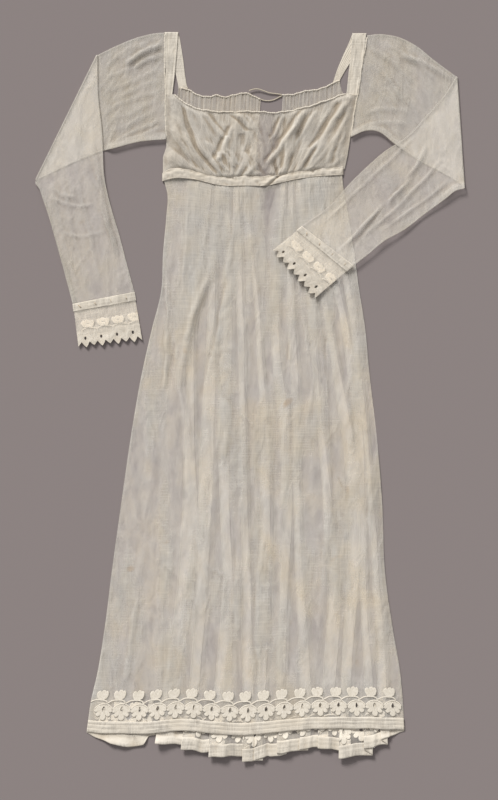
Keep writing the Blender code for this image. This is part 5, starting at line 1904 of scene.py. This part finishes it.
def soft_light(name, place, strength, spread, colour):
    """Light that is the same all over the dress, from the side of the place."""
    data = bpy.data.lights.new(name, "SUN")
    data.energy = strength
    data.angle = spread
    data.color = colour
    made = bpy.data.objects.new(name, data)
    made.location = place
    look_at(made, (0, 0, 0))
    bpy.context.scene.collection.objects.link(made)


def studio():
    world_look = bpy.data.worlds.new("studio")
    world_look.use_nodes = True
    world_look.node_tree.nodes["Background"].inputs[0].default_value = (1.0, 0.99, 0.985, 1)
    world_look.node_tree.nodes["Background"].inputs[1].default_value = 0.4
    bpy.context.scene.world = world_look
    soft_light("key", (-1.0, 2.2, 1.45), 3.4, 0.3, (1.0, 0.985, 0.965))
    half = 6.0
    mesh = bpy.data.meshes.new("floor")
    mesh.from_pydata([(-half, -half, 0), (half, -half, 0), (half, half, 0), (-half, half, 0)], [], [(0, 1, 2, 3)])
    floor = bpy.data.objects.new("floor", mesh)
    bpy.context.scene.collection.objects.link(floor)
    made, tree, shader = start_material("paper", 0.95, 0.0)
    shader.inputs["Base Color"].default_value = (0.27, 0.233, 0.23, 1)
    mesh.materials.append(made)


def settings():
    scene = bpy.context.scene
    scene.cycles.transparent_max_bounces = 40
    scene.cycles.max_bounces = 8
    scene.view_settings.view_transform = "Standard"
    scene.view_settings.look = "None"


camera()
strand("drawstring_upper", UPPER_STRAND, 90)
strand("drawstring_lower", LOWER_STRAND, 64)
studio()
settings()
front_piece, front_work, front_cloth = skirt_front()
back_piece, back_work, back_cloth = skirt_back()
front_band, front_band_cloth = hem_band_front()
back_band, back_band_cloth = hem_band_back()
waist_piece, waist_cloth = waistband()
bodice_piece, bodice_cloth = bodice_front()
back_left_piece, back_left_cloth = bodice_back("left", BACK_NECK_LEFT, 19.0, BACK_SLIT["left"][0])
back_right_piece, back_right_cloth = bodice_back("right", BACK_NECK_RIGHT, 58.0, BACK_SLIT["right"][0])
casing("neck_casing_front", FRONT_NECK, -134, 169, CASING_HIGH)
casing("neck_casing_back_left", BACK_NECK_LEFT, -122, 19, CASING_LOW)
casing("neck_casing_back_right", BACK_NECK_RIGHT, 57, 158, CASING_LOW)
armhole_seam("left", ARMHOLE_LEFT)
armhole_seam("right", ARMHOLE_RIGHT)
strap_left_piece, strap_left_cloth = strap("left", STRAP_BACK_LEFT, STRAP_FRONT_LEFT, 0.8, 0.2)
strap_right_piece, strap_right_cloth = strap("right", STRAP_BACK_RIGHT, STRAP_FRONT_RIGHT, 2.8, 0.9)
sleeve_left_piece, sleeve_left_cloth = sleeve(
    "left", LEFT_UPPER, LEFT_FOREARM, LEFT_OUTWARD, LEFT_UPPER_CREASES, LEFT_LOWER_CREASES, True
)
sleeve_right_piece, sleeve_right_cloth = sleeve(
    "right", RIGHT_UPPER, RIGHT_FOREARM, RIGHT_OUTWARD, RIGHT_UPPER_CREASES, RIGHT_LOWER_CREASES, False
)
cuff_left = cuff("left", LEFT_FOREARM, LEFT_CUFF_END, True)
cuff_right = cuff("right", RIGHT_FOREARM, RIGHT_CUFF_END, False)
